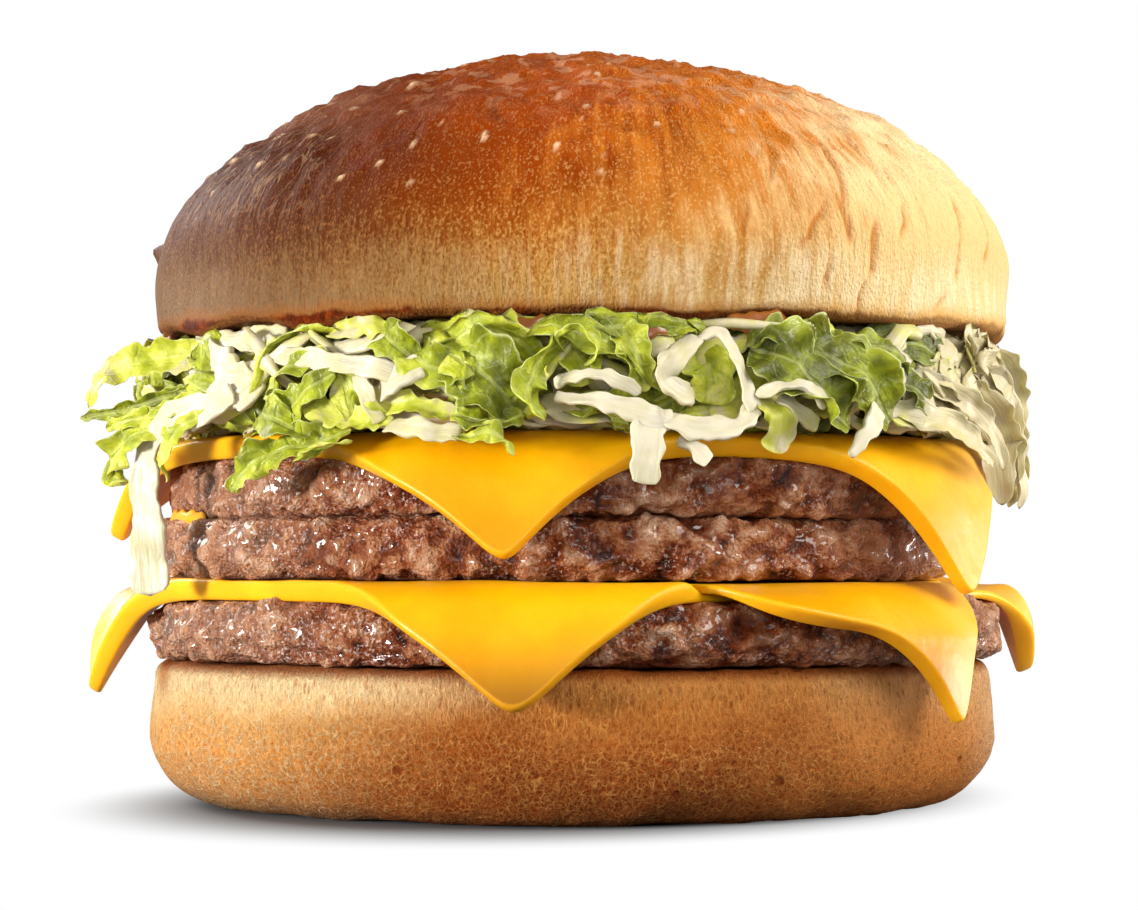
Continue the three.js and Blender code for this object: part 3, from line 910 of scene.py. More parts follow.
def patty_grid(body, azimuth, seed):
    """A flat disc with a rim that is half an ellipse, and the rim's slow waves."""
    thickness = body.high - body.low
    flat = body.radius - PATTY_RIM
    turn = arc(-90, 90, 46)
    outline = outline_of(
        (np.linspace(0, flat, 16)[:-1], 0.0),
        (flat + PATTY_RIM * np.cos(turn) ** 0.55,
         thickness / 2 * (1 + 1.1 * squared_off(np.sin(turn), 0.8))),
        (np.linspace(flat, 0, 16)[1:], thickness))
    radius, height = turn_outline(outline, azimuth)
    rim = smooth_step(radius, flat, body.radius)
    radius = radius + rim * 0.45 * ripple(azimuth, 0, 2, 5, seed)
    height = height + rim * 0.28 * ripple(azimuth, 0, 4, 15, seed + 1)
    return place(radius, azimuth, height + body.low, body.x, body.y), rim


def mince_relief(grid, seed):
    """Strands of mince: grains on coordinates that lumps have bent, with smaller grains on top."""
    bent = grid + 1.3 * np.stack([lumps(grid, 4.0, seed + k) for k in range(3)], -1)
    nearest, second, tone = grains(bent * (1, 1, 1.2), 2.9, seed + 5)
    strand = smooth_step(second - nearest, 0.0, 0.7) * (0.5 + 0.5 * tone)
    nearest, second, tone = grains(bent, 1.2, seed + 6)
    crumb = smooth_step(second - nearest, 0.0, 0.8) * (0.4 + 0.6 * tone)
    return 0.52 * strand + 0.2 * crumb + 0.6 * rough_lumps(grid, 3.3, seed + 7) + 0.1


def patty_piece(name):
    """A disc whose points move out along their normals by the mince's relief and by broad lumps, all the
    way on the rim and a little on the flat sides."""
    wave_seed = PATTY_SEEDS[name]
    seed = int(100 * wave_seed)
    grid, rim = patty_grid(patties[name], azimuths(PATTY_COLUMNS), wave_seed)
    relief = mince_relief(grid, seed)
    broad = 0.6 * lumps(grid, 11, seed + 9) + 0.55 * lumps(grid, 5.5, seed + 10)
    push = mix(0.12, 1.0, rim) * (1.15 * relief - 0.6 + broad)
    grid = grid + outward(grid) * push[..., None]
    return turned_piece(name + "_mince", grid, relief=np.clip(relief, 0, 1))


# %% Colour the beef
def beef_material():
    """Painted shade in the creases and painted light on the tops of the strands, over the meat's own
    mottle, with seared patches, both ends painted lighter as painted light, and pale granules in clusters,
    more on the left, that are partly fat and partly painted glints, all under a wet coat that comes and
    goes."""
    material, tree, shader = new_material("seared_beef", Coat_Roughness=0.14, Specular_IOR_Level=0.15)
    spot = object_place(tree)
    mottle = noise(tree, spot, 1.6, detail=6, roughness=0.62)
    # painted shade and light: the kept relief darkens the creases and lightens the tops
    tone = plus(tree, times(tree, kept(tree, "relief"), 0.4), mottle)
    meat = ramp(tree, times(tree, tone, 0.86), (0.34, "#3a1002"), (0.46, "#803812"),
                (0.58, "#ae7048"), (0.78, "#d6aa8a"))
    seared = remap(tree, noise(tree, spot, 7), 0.48, 0.72, 0.0, 0.5)
    meat = blend(tree, seared, meat, "#7e320a")
    x = axis_of(tree, spot, "X")
    # painted light: both ends of the patties are lightened
    aside = remap(tree, calculate(tree, "ABSOLUTE", x), 0.022, 0.04, 0.0, 0.5)
    meat = blend(tree, aside, meat, blend(tree, 0.5, meat, "#e8b894"))
    # pale granules, partly fat and partly painted glints, clustered more on the left
    places = plus(tree, noise(tree, spot, 4.5, detail=2), remap(tree, x, -0.045, -0.01, 0.14, 0))
    clusters = remap(tree, places, 0.44, 0.62, 0.1, 1.0)
    granules = remap(tree, noise(tree, spot, 0.3, detail=3, roughness=0.65), 0.53, 0.63)
    fat_and_glints = times(tree, granules, clusters)
    meat = blend(tree, times(tree, fat_and_glints, 0.66), meat, "#e4cabc")
    tree.links.new(meat, shader.inputs["Base Color"])
    wet = remap(tree, noise(tree, spot, 2.6, detail=4), 0.4, 0.6)
    tree.links.new(remap(tree, wet, 0, 1, 0.65, 0.35), shader.inputs["Roughness"])
    tree.links.new(remap(tree, wet, 0, 1, 0.04, 0.8), shader.inputs["Coat Weight"])
    pores = add_node(tree, "TexVoronoi", {"Vector": spot, "Scale": 1 / (0.42 * MM)}).outputs["Distance"]
    fine = times(tree, noise(tree, spot, 0.45, detail=4, roughness=0.7), 2.4)
    tree.links.new(bump(tree, plus(tree, fine, pores), 0.42, 1.0), shader.inputs["Normal"])
    return material


beef = beef_material()
for patty_name in patties:
    finish_piece(patty_piece(patty_name), patty_name, beef)


# %% [markdown]
# ## Three slices of cheese
#
# A warm slice lies flat as far as the patty's edge and then hangs. The way from its middle keeps its
# length and turns down over the fold, so a point is found by adding up small steps whose slope grows
# from flat to the corner's own slope. The square outline is a distance for each direction.

# %% The slices and how they hang
SLICE_THICKNESS = 2.5
SLICE_PRESSED = 1.0
SLICE_COLUMNS = 640
FOLD_INSET = 3.55  # the fold starts this far inside the patty's mean radius
FOLD_LENGTH = 7.5
CURL = math.radians(4)
CORNER_ROUNDING = 0.05
CUT_EDGE_ROUNDING = 0.7
STIFF_HANG = 12

# Corners are (azimuth in degrees, reach in mm, hang in degrees), anticlockwise from above. A side is how
# far the side after each corner lies from the middle. Under the patties a slice is pressed thin, and a
# sector that another slice covers stays so past the fold. `lift` is how far a slice lies above its patty,
# `stiff_back` keeps the sides behind nearly level, and `deep` is how strongly the hanging tips are
# painted darker, as painted shade where they turn down and away from the light.
SLICES = {
    "cheese_lower": SimpleNamespace(
        corners=((-95, 63.2, 56), (-7, 61.5, 70), (97, 59.2, 70), (175, 63, 66)),
        sides=(47.2, 43, 46.5, 46.5), patty="patty_lower", pressed=SLICE_PRESSED,
        covered=(13, 19, 106, 118), lift=0.3, stiff_back=True, deep=1.0, seed=51),
    "cheese_side": SimpleNamespace(
        corners=((17, 48.0, 50), (50, 63.6, 76), (102, 43.5, 15), (330, 30, 0)),
        sides=(54, 43, 36, 28), patty="patty_lower", pressed=SLICE_PRESSED,
        covered=(-30, -20, 120, 140), lift=1.3, stiff_back=False, deep=1.0, seed=53),
    "cheese_upper": SimpleNamespace(
        corners=((-92, 58.4, 60), (-7.6, 59.5, 70), (54, 63.4, 70), (152, 60, 64)),
        sides=(46.4, 47.2, 42.5, 45.5), patty="patty_upper", pressed=SLICE_THICKNESS,
        covered=None, lift=0.3, stiff_back=False, deep=0.4, seed=57),
}


def sector(azimuth, limits):
    """1 between the two inner limits in degrees, going smoothly to 0 at the two outer ones."""
    if limits is None:
        return np.zeros_like(azimuth)
    start, full, fade, end = limits
    degrees = (np.degrees(azimuth) + 180) % 360 - 180
    return smooth_step(degrees, start, full) * (1 - smooth_step(degrees, fade, end))


def slice_outline(piece, turn):
    """Azimuth, reach and hang where quarter turn `turn` (0 to 4) of a slice lies. A side is straight, so
    its distance grows as 1 / cosine towards a corner, and the corner itself is rounded off."""
    corners = np.array(piece.corners, float)
    quarter = np.floor(turn).astype(int) % 4
    share = turn - np.floor(turn)
    start, end = corners[quarter], corners[(quarter + 1) % 4]
    corner = np.where((share < 0.5)[:, None], start, end)
    from_corner = 1 - np.abs(2 * share - 1)
    off = 1 + CORNER_ROUNDING - np.sqrt(from_corner**2 + CORNER_ROUNDING**2)
    towards = ((1 / np.cos(off.clip(0, 1) * np.pi / 4) - 1) / (math.sqrt(2) - 1)) ** 1.25
    azimuth = np.radians(start[:, 0] + share * ((end[:, 0] - start[:, 0]) % 360))
    reach = mix(np.array(piece.sides)[quarter], corner[:, 1], towards)
    hang = mix(start[:, 2], end[:, 2], smooth_step(share, 0.2, 0.8))
    if piece.stiff_back:
        behind = smooth_step(turn, 2.0, 2.1) * (1 - smooth_step(turn, 2.4, 2.9))
        behind = behind + smooth_step(turn, 3.1, 3.6) * (1 - smooth_step(turn, 3.9, 4.0))
        hang = mix(hang, STIFF_HANG, behind)
    return azimuth, reach, np.radians(hang)


def slope_past(fold, hang):
    """The slope that far past the fold: the corner's hang, reached smoothly, and then a slight curl."""
    curl = CURL * np.minimum(hang, 1) * smooth_step(fold, 7, 19)
    return hang * smooth_step(fold, 0, FOLD_LENGTH) + curl


def drape(along, edge, hang, steps=32):
    """Radius, drop and slope of the point `along` mm from the middle, on a sheet that folds at `edge`. The
    way over the fold times the mean cosine or sine of its slopes is the step out or down."""
    over = np.maximum(along - edge, 0)
    part = (np.arange(steps) + 0.5) / steps
    slope = slope_past(over[..., None] * part, hang[..., None])
    radius = np.minimum(along, edge) + over * np.cos(slope).mean(-1)
    return radius, over * np.sin(slope).mean(-1), slope_past(over, hang)


# %% Build the slices
def slice_section(edge, reach):
    """Distances from the middle and heights from 0 to 1, up the section of a slice with rounded edges:
    out along the underside, round the cut edge, and back along the top."""
    flat = np.minimum(edge, reach - 3)
    end = reach - CUT_EDGE_ROUNDING
    spread = np.concatenate([np.linspace(0.2, 1, 8), 1 + np.linspace(0, 1, 34)[1:]])[:, None]
    out = np.where(spread <= 1, spread * flat, mix(flat, end, spread - 1))
    turn = arc(-90, 90, 15)[1:-1]
    rim = end + CUT_EDGE_ROUNDING * np.cos(turn)[:, None] ** 0.6
    centre = np.zeros((1, len(reach)))
    along = np.vstack([centre, out, rim, out[::-1], centre])
    under = np.zeros(len(out) + 1)
    share = np.concatenate([under, (1 + squared_off(np.sin(turn), 0.75)) / 2, 1 + under])
    return along, share[:, None]


def slice_grid(name):
    """The points of a draped slice, where its cut edge is, and how much painted shade each point gets where
    the slice hangs (from how far past the fold it lies, times `deep`). The points of the upper side lie one
    thickness along the normal from those of the underside."""
    piece = SLICES[name]
    body = patties[piece.patty]
    azimuth, reach, hang = slice_outline(piece, np.arange(SLICE_COLUMNS) * 4 / SLICE_COLUMNS)
    reach = reach + 0.25 * ripple(azimuth, 0, 3, 14, piece.seed)
    edge = np.full_like(azimuth, body.radius - FOLD_INSET)
    along, share = slice_section(edge, reach)
    radius, drop, slope = drape(along, edge, np.broadcast_to(hang, along.shape))
    swollen = mix(edge - 3.5, edge + 3, sector(azimuth, piece.covered))
    thickness = share * mix(piece.pressed, SLICE_THICKNESS, smooth_step(along, swollen, swollen + 6))
    thickness = thickness * (1 - 0.38 * smooth_step(along, edge + 7, edge + 20))
    height = body.high + piece.lift - drop + thickness * np.cos(slope)
    grid = place(radius + thickness * np.sin(slope), azimuth, height, body.x)
    soft = 0.22 * lumps(grid, 13, piece.seed) + 0.06 * lumps(grid, 4.5, piece.seed + 1)
    grid = grid + outward(grid) * (soft * smooth_step(along, edge - 6, edge + 2) * share)[..., None]
    cut_edge = np.broadcast_to((share > 0) & (share < 1), along.shape).astype(float)
    return grid, cut_edge, piece.deep * smooth_step(along, edge + 6, edge + 16)


# %% Colour the cheese
def cheese_material():
    """Warm yellow that light enters a little way. The hanging tips in front are painted darker, as painted
    shade where they face down; the cut edge is painted brighter, as painted light catching it, most at the
    slices' ends; and the slices' left and right ends have a painted sheen in streaks, a pale painted
    reflection of the lights."""
    material, tree, shader = new_material("soft_cheese", Subsurface_Weight=0.45, Subsurface_Scale=0.0025,
                                          Subsurface_Radius=(1.0, 0.6, 0.1), Coat_Weight=0.1,
                                          Coat_Roughness=0.3, Specular_IOR_Level=0.2)
    spot = object_place(tree)
    cloud = noise(tree, spot, 9, detail=3)
    tone = blend(tree, remap(tree, cloud, 0.35, 0.65), "#e89e00", "#f2b000")
    rim, hanging = kept(tree, "rim"), kept(tree, "hanging")
    aside = remap(tree, calculate(tree, "ABSOLUTE", axis_of(tree, spot, "X")), 0.037, 0.047)
    # painted shade: the hanging tips in front are darkened
    tone = blend(tree, times(tree, hanging, minus(tree, 1.0, aside)), tone, "#945e00")
    # painted light: a brighter cut edge, strongest at the slices' ends
    edge = times(tree, rim, remap(tree, aside, 0, 1, 0.35, 1.0))
    tone = blend(tree, edge, tone, "#ffb81c")
    # painted sheen: pale streaks on the ends' faces stand for a reflection of the lights
    streaks = remap(tree, noise(tree, spot, 7, detail=4, distortion=0.8), 0.36, 0.6, 0.15, 0.62)
    outside = times(tree, aside, remap(tree, hanging, 0.0, 0.4, 0.35, 1.0))
    painted_sheen_share = times(tree, times(tree, outside, streaks), minus(tree, 1.0, rim))
    tone = blend(tree, painted_sheen_share, tone, "#f8d79a")
    tree.links.new(tone, shader.inputs["Base Color"])
    tree.links.new(remap(tree, cloud, 0.3, 0.7, 0.3, 0.5), shader.inputs["Roughness"])
    film = plus(tree, noise(tree, spot, 1.8, detail=4), times(tree, noise(tree, spot, 6), 3.0))
    tree.links.new(bump(tree, film, 0.2, 0.7), shader.inputs["Normal"])
    return material


cheese = cheese_material()
for slice_name in SLICES:
    slice_points, slice_rim, slice_hanging = slice_grid(slice_name)
    slice_piece = turned_piece(slice_name + "_slice", slice_points, rim=slice_rim, hanging=slice_hanging)
    finish_piece(slice_piece, slice_name, cheese)


# %% [markdown]
# ## The lettuce
#
# Shredded lettuce comes in two kinds: thick white strips, cut across the ribs, and thin green leaves that
# crinkle. Both are ribbons. A ribbon follows a curve through a few knots, its width turns about that
# curve, and a wave that grows towards its two edges makes the frill. The plain heap is replaced by a
# smaller core with the ribbons lying on it.

# %% A curve through knots
def curve_through(knots, count):
    """`count` points on a smooth curve through knots (Catmull-Rom): between two knots it is a cubic, and
    its slope at each knot is half the step between that knot's neighbours."""
    before, after = 2 * knots[:, :1] - knots[:, 1:2], 2 * knots[:, -1:] - knots[:, -2:-1]
    padded = np.concatenate([before, knots, after], axis=1)
    position = np.linspace(0, knots.shape[1] - 1, count)
    step = np.minimum(position.astype(int), knots.shape[1] - 2)
    t = (position - step)[:, None]
    a, b, c, d = (padded[:, step + k] for k in range(4))
    return b + 0.5 * t * (c - a + t * (2 * a - 5 * b + 4 * c - d + t * (3 * (b - c) + d - a)))


def unit(vectors):
    """The vectors, each divided by its length."""
    return vectors / np.maximum(np.linalg.norm(vectors, axis=-1, keepdims=True), 1e-9)


# %% Ribbons on curves
def ribbon_frame(path, turn):
    """The way along each path, the direction of the ribbon's width and the one that it faces: away from
    the burger's axis and a little up, both turned about the path by `turn` degrees."""
    forward = unit(np.gradient(path, axis=1))
    away = unit(path * (1, 1, 0)) + (0, 0, 0.3)
    side = unit(np.cross(forward, away))
    facing = np.cross(side, forward)
    steps = np.linalg.norm(np.diff(path, axis=1), axis=-1)
    along = np.concatenate([np.zeros((len(path), 1)), np.cumsum(steps, axis=1)], axis=1)
    cosine, sine = np.cos(np.radians(turn))[..., None], np.sin(np.radians(turn))[..., None]
    return along, cosine * side + sine * facing, cosine * facing - sine * side


def ribbon_grids(knots, look, rows, columns):
    """Closed ribbons through knots (ribbon, knot, xyz). `look` holds an array for each property: width (at
    the start and the end), turn (likewise, in degrees; at 0 the flat side faces outwards), thickness,
    frill, wave (its length), crinkle, cup, point (how late the ends taper), square (1 for an oval section,
    less for a boxy one), ragged, tone and seed. Returns the points, the place on the ribbon (along,
    across, nearness to the edge) and the tone."""
    each = SimpleNamespace(**{key: np.array(value, float)[:, None] for key, value in look.items()})
    share = np.linspace(0, 1, rows)
    path = curve_through(knots, rows)
    along, side, facing = ribbon_frame(path, mix(each.turn[..., 0], each.turn[..., 1], share))
    side, facing = side[:, :, None], facing[:, :, None]

    angle = azimuths(columns)
    across = squared_off(np.cos(angle), each.square[..., None])
    deep = squared_off(np.sin(angle), each.square[..., None])
    edge = np.abs(across) ** 1.5
    taper = (1 - np.abs(2 * share - 1) ** each.point).clip(0) ** 0.5
    half = mix(each.width[..., 0], each.width[..., 1], share) / 2 * taper
    phase = (along / each.wave * 2 * np.pi + each.seed)[..., None]
    waves = 0.09 * np.sin(1.7 * phase + 2.5 * across) + 0.06 * np.sin(4.1 * phase - 2 * across)
    wide = half[..., None] * across * (1 + each.ragged[..., None] * waves)
    frill = np.sin(phase + 1.3 * across) + 0.35 * np.sin(2.3 * phase + 2.1 * across + 1)
    lift = each.frill[..., None] * edge * frill * taper[..., None]
    lift = lift + (each.cup * half)[..., None] * across**2
    lift = lift - (each.thickness / 2 * taper)[..., None] * deep
    points = path[:, :, None] + side * wide[..., None] + facing * lift[..., None]

    own = points + (each.seed * 31)[..., None, None]
    folds = lumps(own, 4.0, 71) + 0.45 * lumps(own, 1.9, 72)
    crumpled = (each.crinkle * taper)[..., None] * folds
    torn = 0.5 * each.ragged[..., None] * lumps(own, 1.5, 73) * edge * np.sign(across)
    points = points + facing * crumpled[..., None] + side * torn[..., None]
    shape = points.shape[:-1]
    where = ((along + 40 * each.seed)[..., None], wide, np.abs(across))
    where = np.stack([np.broadcast_to(part, shape) for part in where], -1)
    return points, where, np.broadcast_to(each.tone[..., None, None], (*shape, 1))


def closed_ribbons(values):
    """The rows of every ribbon as one list, with each ribbon's first and last row shrunk to one point."""
    middle = values[:, 1:-1].reshape(len(values), -1, values.shape[-1])
    closed = np.concatenate([values[:, :1].mean(2), middle, values[:, -1:].mean(2)], axis=1)
    return closed.reshape(-1, values.shape[-1])


def ribbon_piece(name, *batches):
    """One object from batches of ribbons, with their places and tones kept on its points."""
    faces, count = [], 0
    for _, _, tone in batches:
        ribbons, rows, columns, _ = tone.shape
        size = 2 + (rows - 2) * columns
        starts = count + size * np.arange(ribbons)[:, None, None]
        faces += [(part + starts).reshape(-1, part.shape[1]) for part in round_faces(rows, columns)]
        count += ribbons * size
    points, places, tones = (np.vstack([closed_ribbons(part) for part in parts]) for parts in zip(*batches))
    piece = mesh_piece(name, points, *faces)
    attach(piece, "place", places)
    attach(piece, "tone", tones)
    return piece


# %% [markdown]
# The shreds that hang out of the heap are laid one by one. A line gives the width at both ends, the turn at
# both ends, the frill, the tone (0 is white, 1 deep green), and the knots as azimuth in degrees, radius
# and height in millimetres.

# %% Shreds laid one by one
STRIPS = [
    ((2.6, 4.6), (15, 50), 0.25, 0.03, (-47, 50.5, 46.6), (-55, 53, 44.8), (-60.5, 54.5, 41),
     (-61.5, 54.3, 35), (-61.5, 54, 29), (-61, 54, 24.4)),
    ((3.0, 2.6), (0, 10), 0.3, 0.08, (-68, 46.5, 52.4), (-58, 48.5, 52.7), (-48, 48.5, 52.6),
     (-40, 48.5, 52.9)),
    ((5.6, 4.4), (-10, 15), 0.5, 0.05, (-56, 49, 50.6), (-48, 51, 48.4), (-42, 51.5, 46)),
    ((3.2, 1.4), (10, 0), 0.3, 0.02, (-45, 52.5, 46.8), (-48, 53.4, 44.8), (-51.5, 53.5, 42.8)),
    ((2.2, 2.4), (0, 10), 0.3, 0.05, (-40, 50.5, 50.6), (-32, 52.5, 50), (-24, 53, 48.8),
     (-18, 52.5, 47.4)),
    ((3.6, 3.2), (0, 30), 0.4, 0.0, (-23, 52, 46.4), (-20.5, 53.2, 47.6), (-17.5, 53, 49)),
    ((1.8, 2.3), (20, 0), 0.3, 0.1, (-22, 53, 42.6), (-17, 54.2, 42.1), (-12.5, 54.4, 41.6)),
    ((1.8, 1.6), (0, 20), 0.2, 0.1, (-26, 52.5, 48.2), (-24, 53.6, 45.5), (-22.5, 53.4, 43)),
    ((3.0, 2.6), (10, 0), 0.3, 0.15, (8, 50, 50.4), (10, 50.8, 51.2), (12, 50.5, 51.8)),
    ((1.2, 1.5), (30, -10), 0.2, 0.0, (-2.4, 52, 46.8), (0.5, 53, 47.9), (4, 53.2, 47.7),
     (7.6, 52.6, 46)),
    ((1.5, 3.0), (20, 0), 0.3, 0.0, (-2.5, 53, 45.6), (1.5, 54, 45.2), (5, 54.3, 44.5),
     (8.5, 54.2, 43.7), (11, 54, 43.2)),
    ((3.4, 3.3), (0, 0), 0.25, 0.0, (8.2, 53.3, 44.6), (8, 55, 41.5), (7.8, 55.4, 39),
     (7.4, 55.2, 36.4)),
    ((2.6, 2.6), (10, 25), 0.3, 0.02, (9.6, 53.8, 43.2), (14, 54.6, 42.2), (18, 54.4, 42.6),
     (20.8, 53.8, 44.6)),
    ((1.4, 1.7), (40, 10), 0.2, 0.0, (15, 50.3, 52), (17.4, 52, 52.3), (19.2, 53.4, 48.4),
     (20.4, 53.9, 43.6)),
    ((2.8, 2.4), (-20, 30), 0.4, 0.03, (14.7, 50.3, 52.3), (12, 52, 49.9), (10.5, 52.5, 47.8),
     (12.4, 52.2, 46), (14, 51.8, 45.3)),
    ((1.9, 1.8), (0, 0), 0.15, 0.0, (11.8, 54, 41.6), (13.2, 54.9, 40.2), (14.8, 55, 38.8)),
    ((1.3, 1.4), (30, 10), 0.25, 0.02, (20.5, 54, 45.9), (25, 54.8, 46.9), (27.5, 54.8, 46.2),
     (29.4, 54.4, 44.8)),
    ((2.3, 1.8), (0, 20), 0.3, 0.1, (24, 53, 46), (26, 53.8, 44.2), (28.6, 53.8, 42.6)),
    ((2.8, 0.9), (0, 0), 0.15, 0.0, (37.6, 53.6, 44.8), (34.6, 55, 42.3), (31.8, 55.2, 39.6)),
    ((2.2, 1.8), (0, 20), 0.3, 0.12, (48, 50.5, 50.2), (50.5, 51.6, 48.2), (51.5, 52, 46.4)),
]
LEAVES = [
    ((4.8, 2.3), (10, 40), 0.3, 0.36, (-55, 47, 51.2), (-61, 51, 51.3), (-65.5, 55, 50.3),
     (-67, 58, 48.2), (-66.5, 59.5, 45.4)),
    ((2.2, 1.5), (50, 60), 0.3, 0.78, (-49, 50, 48.4), (-57, 53, 46.8), (-64, 56, 45.4),
     (-69, 59.8, 44.4)),
    ((2.8, 1.2), (10, 20), 0.4, 0.5, (-50, 51, 46.6), (-57, 53.5, 45.2), (-63, 56, 43.8),
     (-66, 57.5, 43)),
    ((4.2, 2.6), (10, 50), 0.9, 0.5, (-55, 52.5, 44.6), (-61, 55.5, 42.4), (-64, 57, 40.2),
     (-66.5, 57, 38.2), (-64, 56, 36.8)),
    ((2.2, 1.5), (20, 0), 0.3, 0.42, (-48, 53.4, 45), (-53, 55.2, 42), (-54.5, 55.4, 39.4),
     (-55, 55, 37)),
    ((4.2, 3.2), (10, -10), 0.3, 0.62, (-40, 52, 42.2), (-34.5, 53.6, 45), (-28.5, 52.8, 48.4)),
    ((4.6, 3.6), (0, 20), 0.5, 0.72, (-40, 52.5, 44.4), (-36, 54, 43.2), (-31.5, 53.8, 41.6)),
    ((3.2, 2.4), (20, 0), 0.3, 0.5, (-41, 51, 46.4), (-36, 52.6, 48.6), (-30.5, 52, 50.8)),
    ((4.0, 3.0), (-15, 30), 1.1, 0.6, (-27, 51.8, 42.4), (-32, 53.6, 40.8), (-37, 54.8, 39.6),
     (-40.5, 54.8, 37.8), (-43, 54.4, 35.8)),
    ((1.4, 1.2), (20, 60), 0.4, 0.42, (-33.5, 54, 39), (-30.5, 55, 39.4), (-28.5, 55.2, 40.6),
     (-25.5, 54.4, 41.2)),
    ((2.6, 2.2), (10, 0), 0.3, 0.25, (-33, 49, 52.7), (-27, 50.2, 53.1), (-21, 50.2, 53.2)),
    ((4.2, 3.4), (-30, 20), 0.8, 0.68, (-24, 50.4, 53), (-21.4, 52.4, 51.4), (-18.6, 51.8, 49.2)),
    ((5.0, 4.4), (20, -20), 1.0, 0.64, (-20, 51, 50.4), (-16.6, 53.2, 48.8), (-12.5, 52.4, 49.4)),
    ((9.0, 7.0), (-10, 20), 1.5, 0.8, (-14, 51, 50.8), (-10, 53.2, 47.6), (-6.4, 53, 43.6)),
    ((3.0, 2.6), (20, 40), 0.9, 0.66, (-14, 53.4, 43.8), (-10, 54.4, 43), (-5.6, 53.8, 43.4)),
    ((3.8, 3.2), (60, 40), 0.7, 0.6, (-1, 51, 51.8), (-3.8, 53.6, 49.2), (-5.2, 54.8, 46.2),
     (-3.2, 54.2, 43)),
    ((1.7, 1.4), (0, 40), 0.5, 0.5, (-14.4, 54.2, 42.2), (-11.4, 55.2, 41.2), (-9.4, 55.4, 41.6),
     (-7.4, 55.2, 40.8), (-6.6, 54.8, 39.4)),
    ((2.6, 2.0), (0, 20), 0.5, 0.3, (-25, 52, 46), (-19, 53, 44.8), (-13, 52.6, 44)),
    ((3.2, 2.6), (10, 0), 0.5, 0.3, (-34, 51.5, 45), (-27, 53, 43.6), (-21, 52.8, 43.2)),
    ((3.6, 3.2), (0, 30), 0.5, 0.42, (-29, 51, 48.8), (-27.4, 52.4, 45.8), (-26.5, 52, 43)),
    ((1.6, 1.5), (70, 90), 0.3, 0.52, (-1.2, 51, 49.8), (-1.8, 52.6, 52), (0.8, 53.4, 52.9),
     (2.4, 52.8, 50.9), (1.0, 51.8, 49)),
    ((4.4, 3.8), (20, -20), 0.8, 0.55, (-0.4, 50, 52), (0.6, 51, 49.4), (1.8, 50.8, 47)),
    ((4.8, 2.2), (-10, 10), 0.3, 0.48, (5.2, 50.4, 53.4), (7.2, 52, 50), (8.4, 51.8, 46.2)),
    ((6.0, 5.0), (0, 20), 0.6, 0.45, (15, 49.5, 51), (16.4, 50.4, 47.8), (16, 50.4, 45)),
    ((2.8, 2.4), (40, 20), 0.8, 0.75, (21, 50.6, 51.2), (24.6, 51.6, 52.8), (30.8, 50.8, 52.4)),
    ((8.5, 6.0), (-15, 25), 1.5, 0.86, (21.4, 51, 51), (25, 53.2, 49.4), (29.4, 54, 46.2),
     (33.4, 53.4, 42.6)),
    ((8.0, 5.5), (10, -20), 1.3, 0.82, (26.6, 50.6, 51.6), (33, 52.8, 49.7), (37.4, 53.4, 46.4),
     (40.4, 52.4, 43.2)),
    ((5.4, 2.6), (0, 20), 0.7, 0.95, (39, 51, 50.2), (44, 52.8, 47), (48, 52.4, 43.8)),
    ((3.6, 3.0), (30, 0), 0.7, 0.84, (32, 50, 52.6), (39.4, 51.8, 51.2), (45.5, 51.8, 49)),
    ((4.8, 3.4), (10, 0), 0.3, 0.95, (40, 48.5, 52.6), (48.5, 50.2, 51.9), (56.5, 50.8, 50.2)),
    ((4.2, 3.4), (0, 10), 0.5, 0.28, (21.8, 52.4, 46), (23.6, 53.4, 42.8), (23, 53.8, 39.8)),
    ((4.8, 4.2), (-50, -60), 0.3, 0.05, (59, 50.4, 49.8), (66, 51.6, 48.2), (68.5, 52.2, 44),
     (65.5, 52.6, 39.8), (67, 52.6, 34.6)),
    ((3.4, 2.6), (-5, -20), 0.4, 0.1, (40, 52, 45), (47, 53.4, 44), (54, 54, 42), (60, 54, 39)),
    ((3.0, 2.4), (-20, -30), 0.4, 0.03, (46, 50.8, 49), (53, 52.6, 46.6), (59, 53.6, 43.6),
     (63, 54, 38.5)),
    ((3.2, 2.8), (-10, -20), 0.25, 0.02, (64, 51.6, 50.6), (67.5, 53, 47), (69.5, 53.6, 41),
     (71, 53.6, 34.2)),
    ((5.0, 3.6), (-55, -65), 0.5, 0.12, (60, 50.6, 48.4), (65, 52.2, 44.4), (68, 53, 40),
     (69, 53, 36.6)),
    ((4.6, 3.6), (-60, -70), 0.4, 0.06, (70, 49, 52.6), (75, 51.2, 50), (77.5, 52, 45.6),
     (78, 52, 40.6)),
    ((2.8, 2.0), (-50, -70), 0.5, 0.14, (73, 52, 42.4), (75, 52.8, 39.4), (73, 52.8, 36.6),
     (70, 52.6, 34.4)),
]


def one_ribbon(knots, look, rows, columns, behind=False):
    """The grids of one ribbon. With `behind` it lies round the back, and is cut shorter where it hangs."""
    azimuth, radius, height = np.array(knots, float).T
    if behind:
        azimuth, height = 180 - azimuth, np.maximum(height, 42 - 0.3 * (42 - height))
    look = {key: [value] for key, value in look.items()}
    return ribbon_grids(place(radius, np.radians(azimuth), height)[None], look, rows, columns)


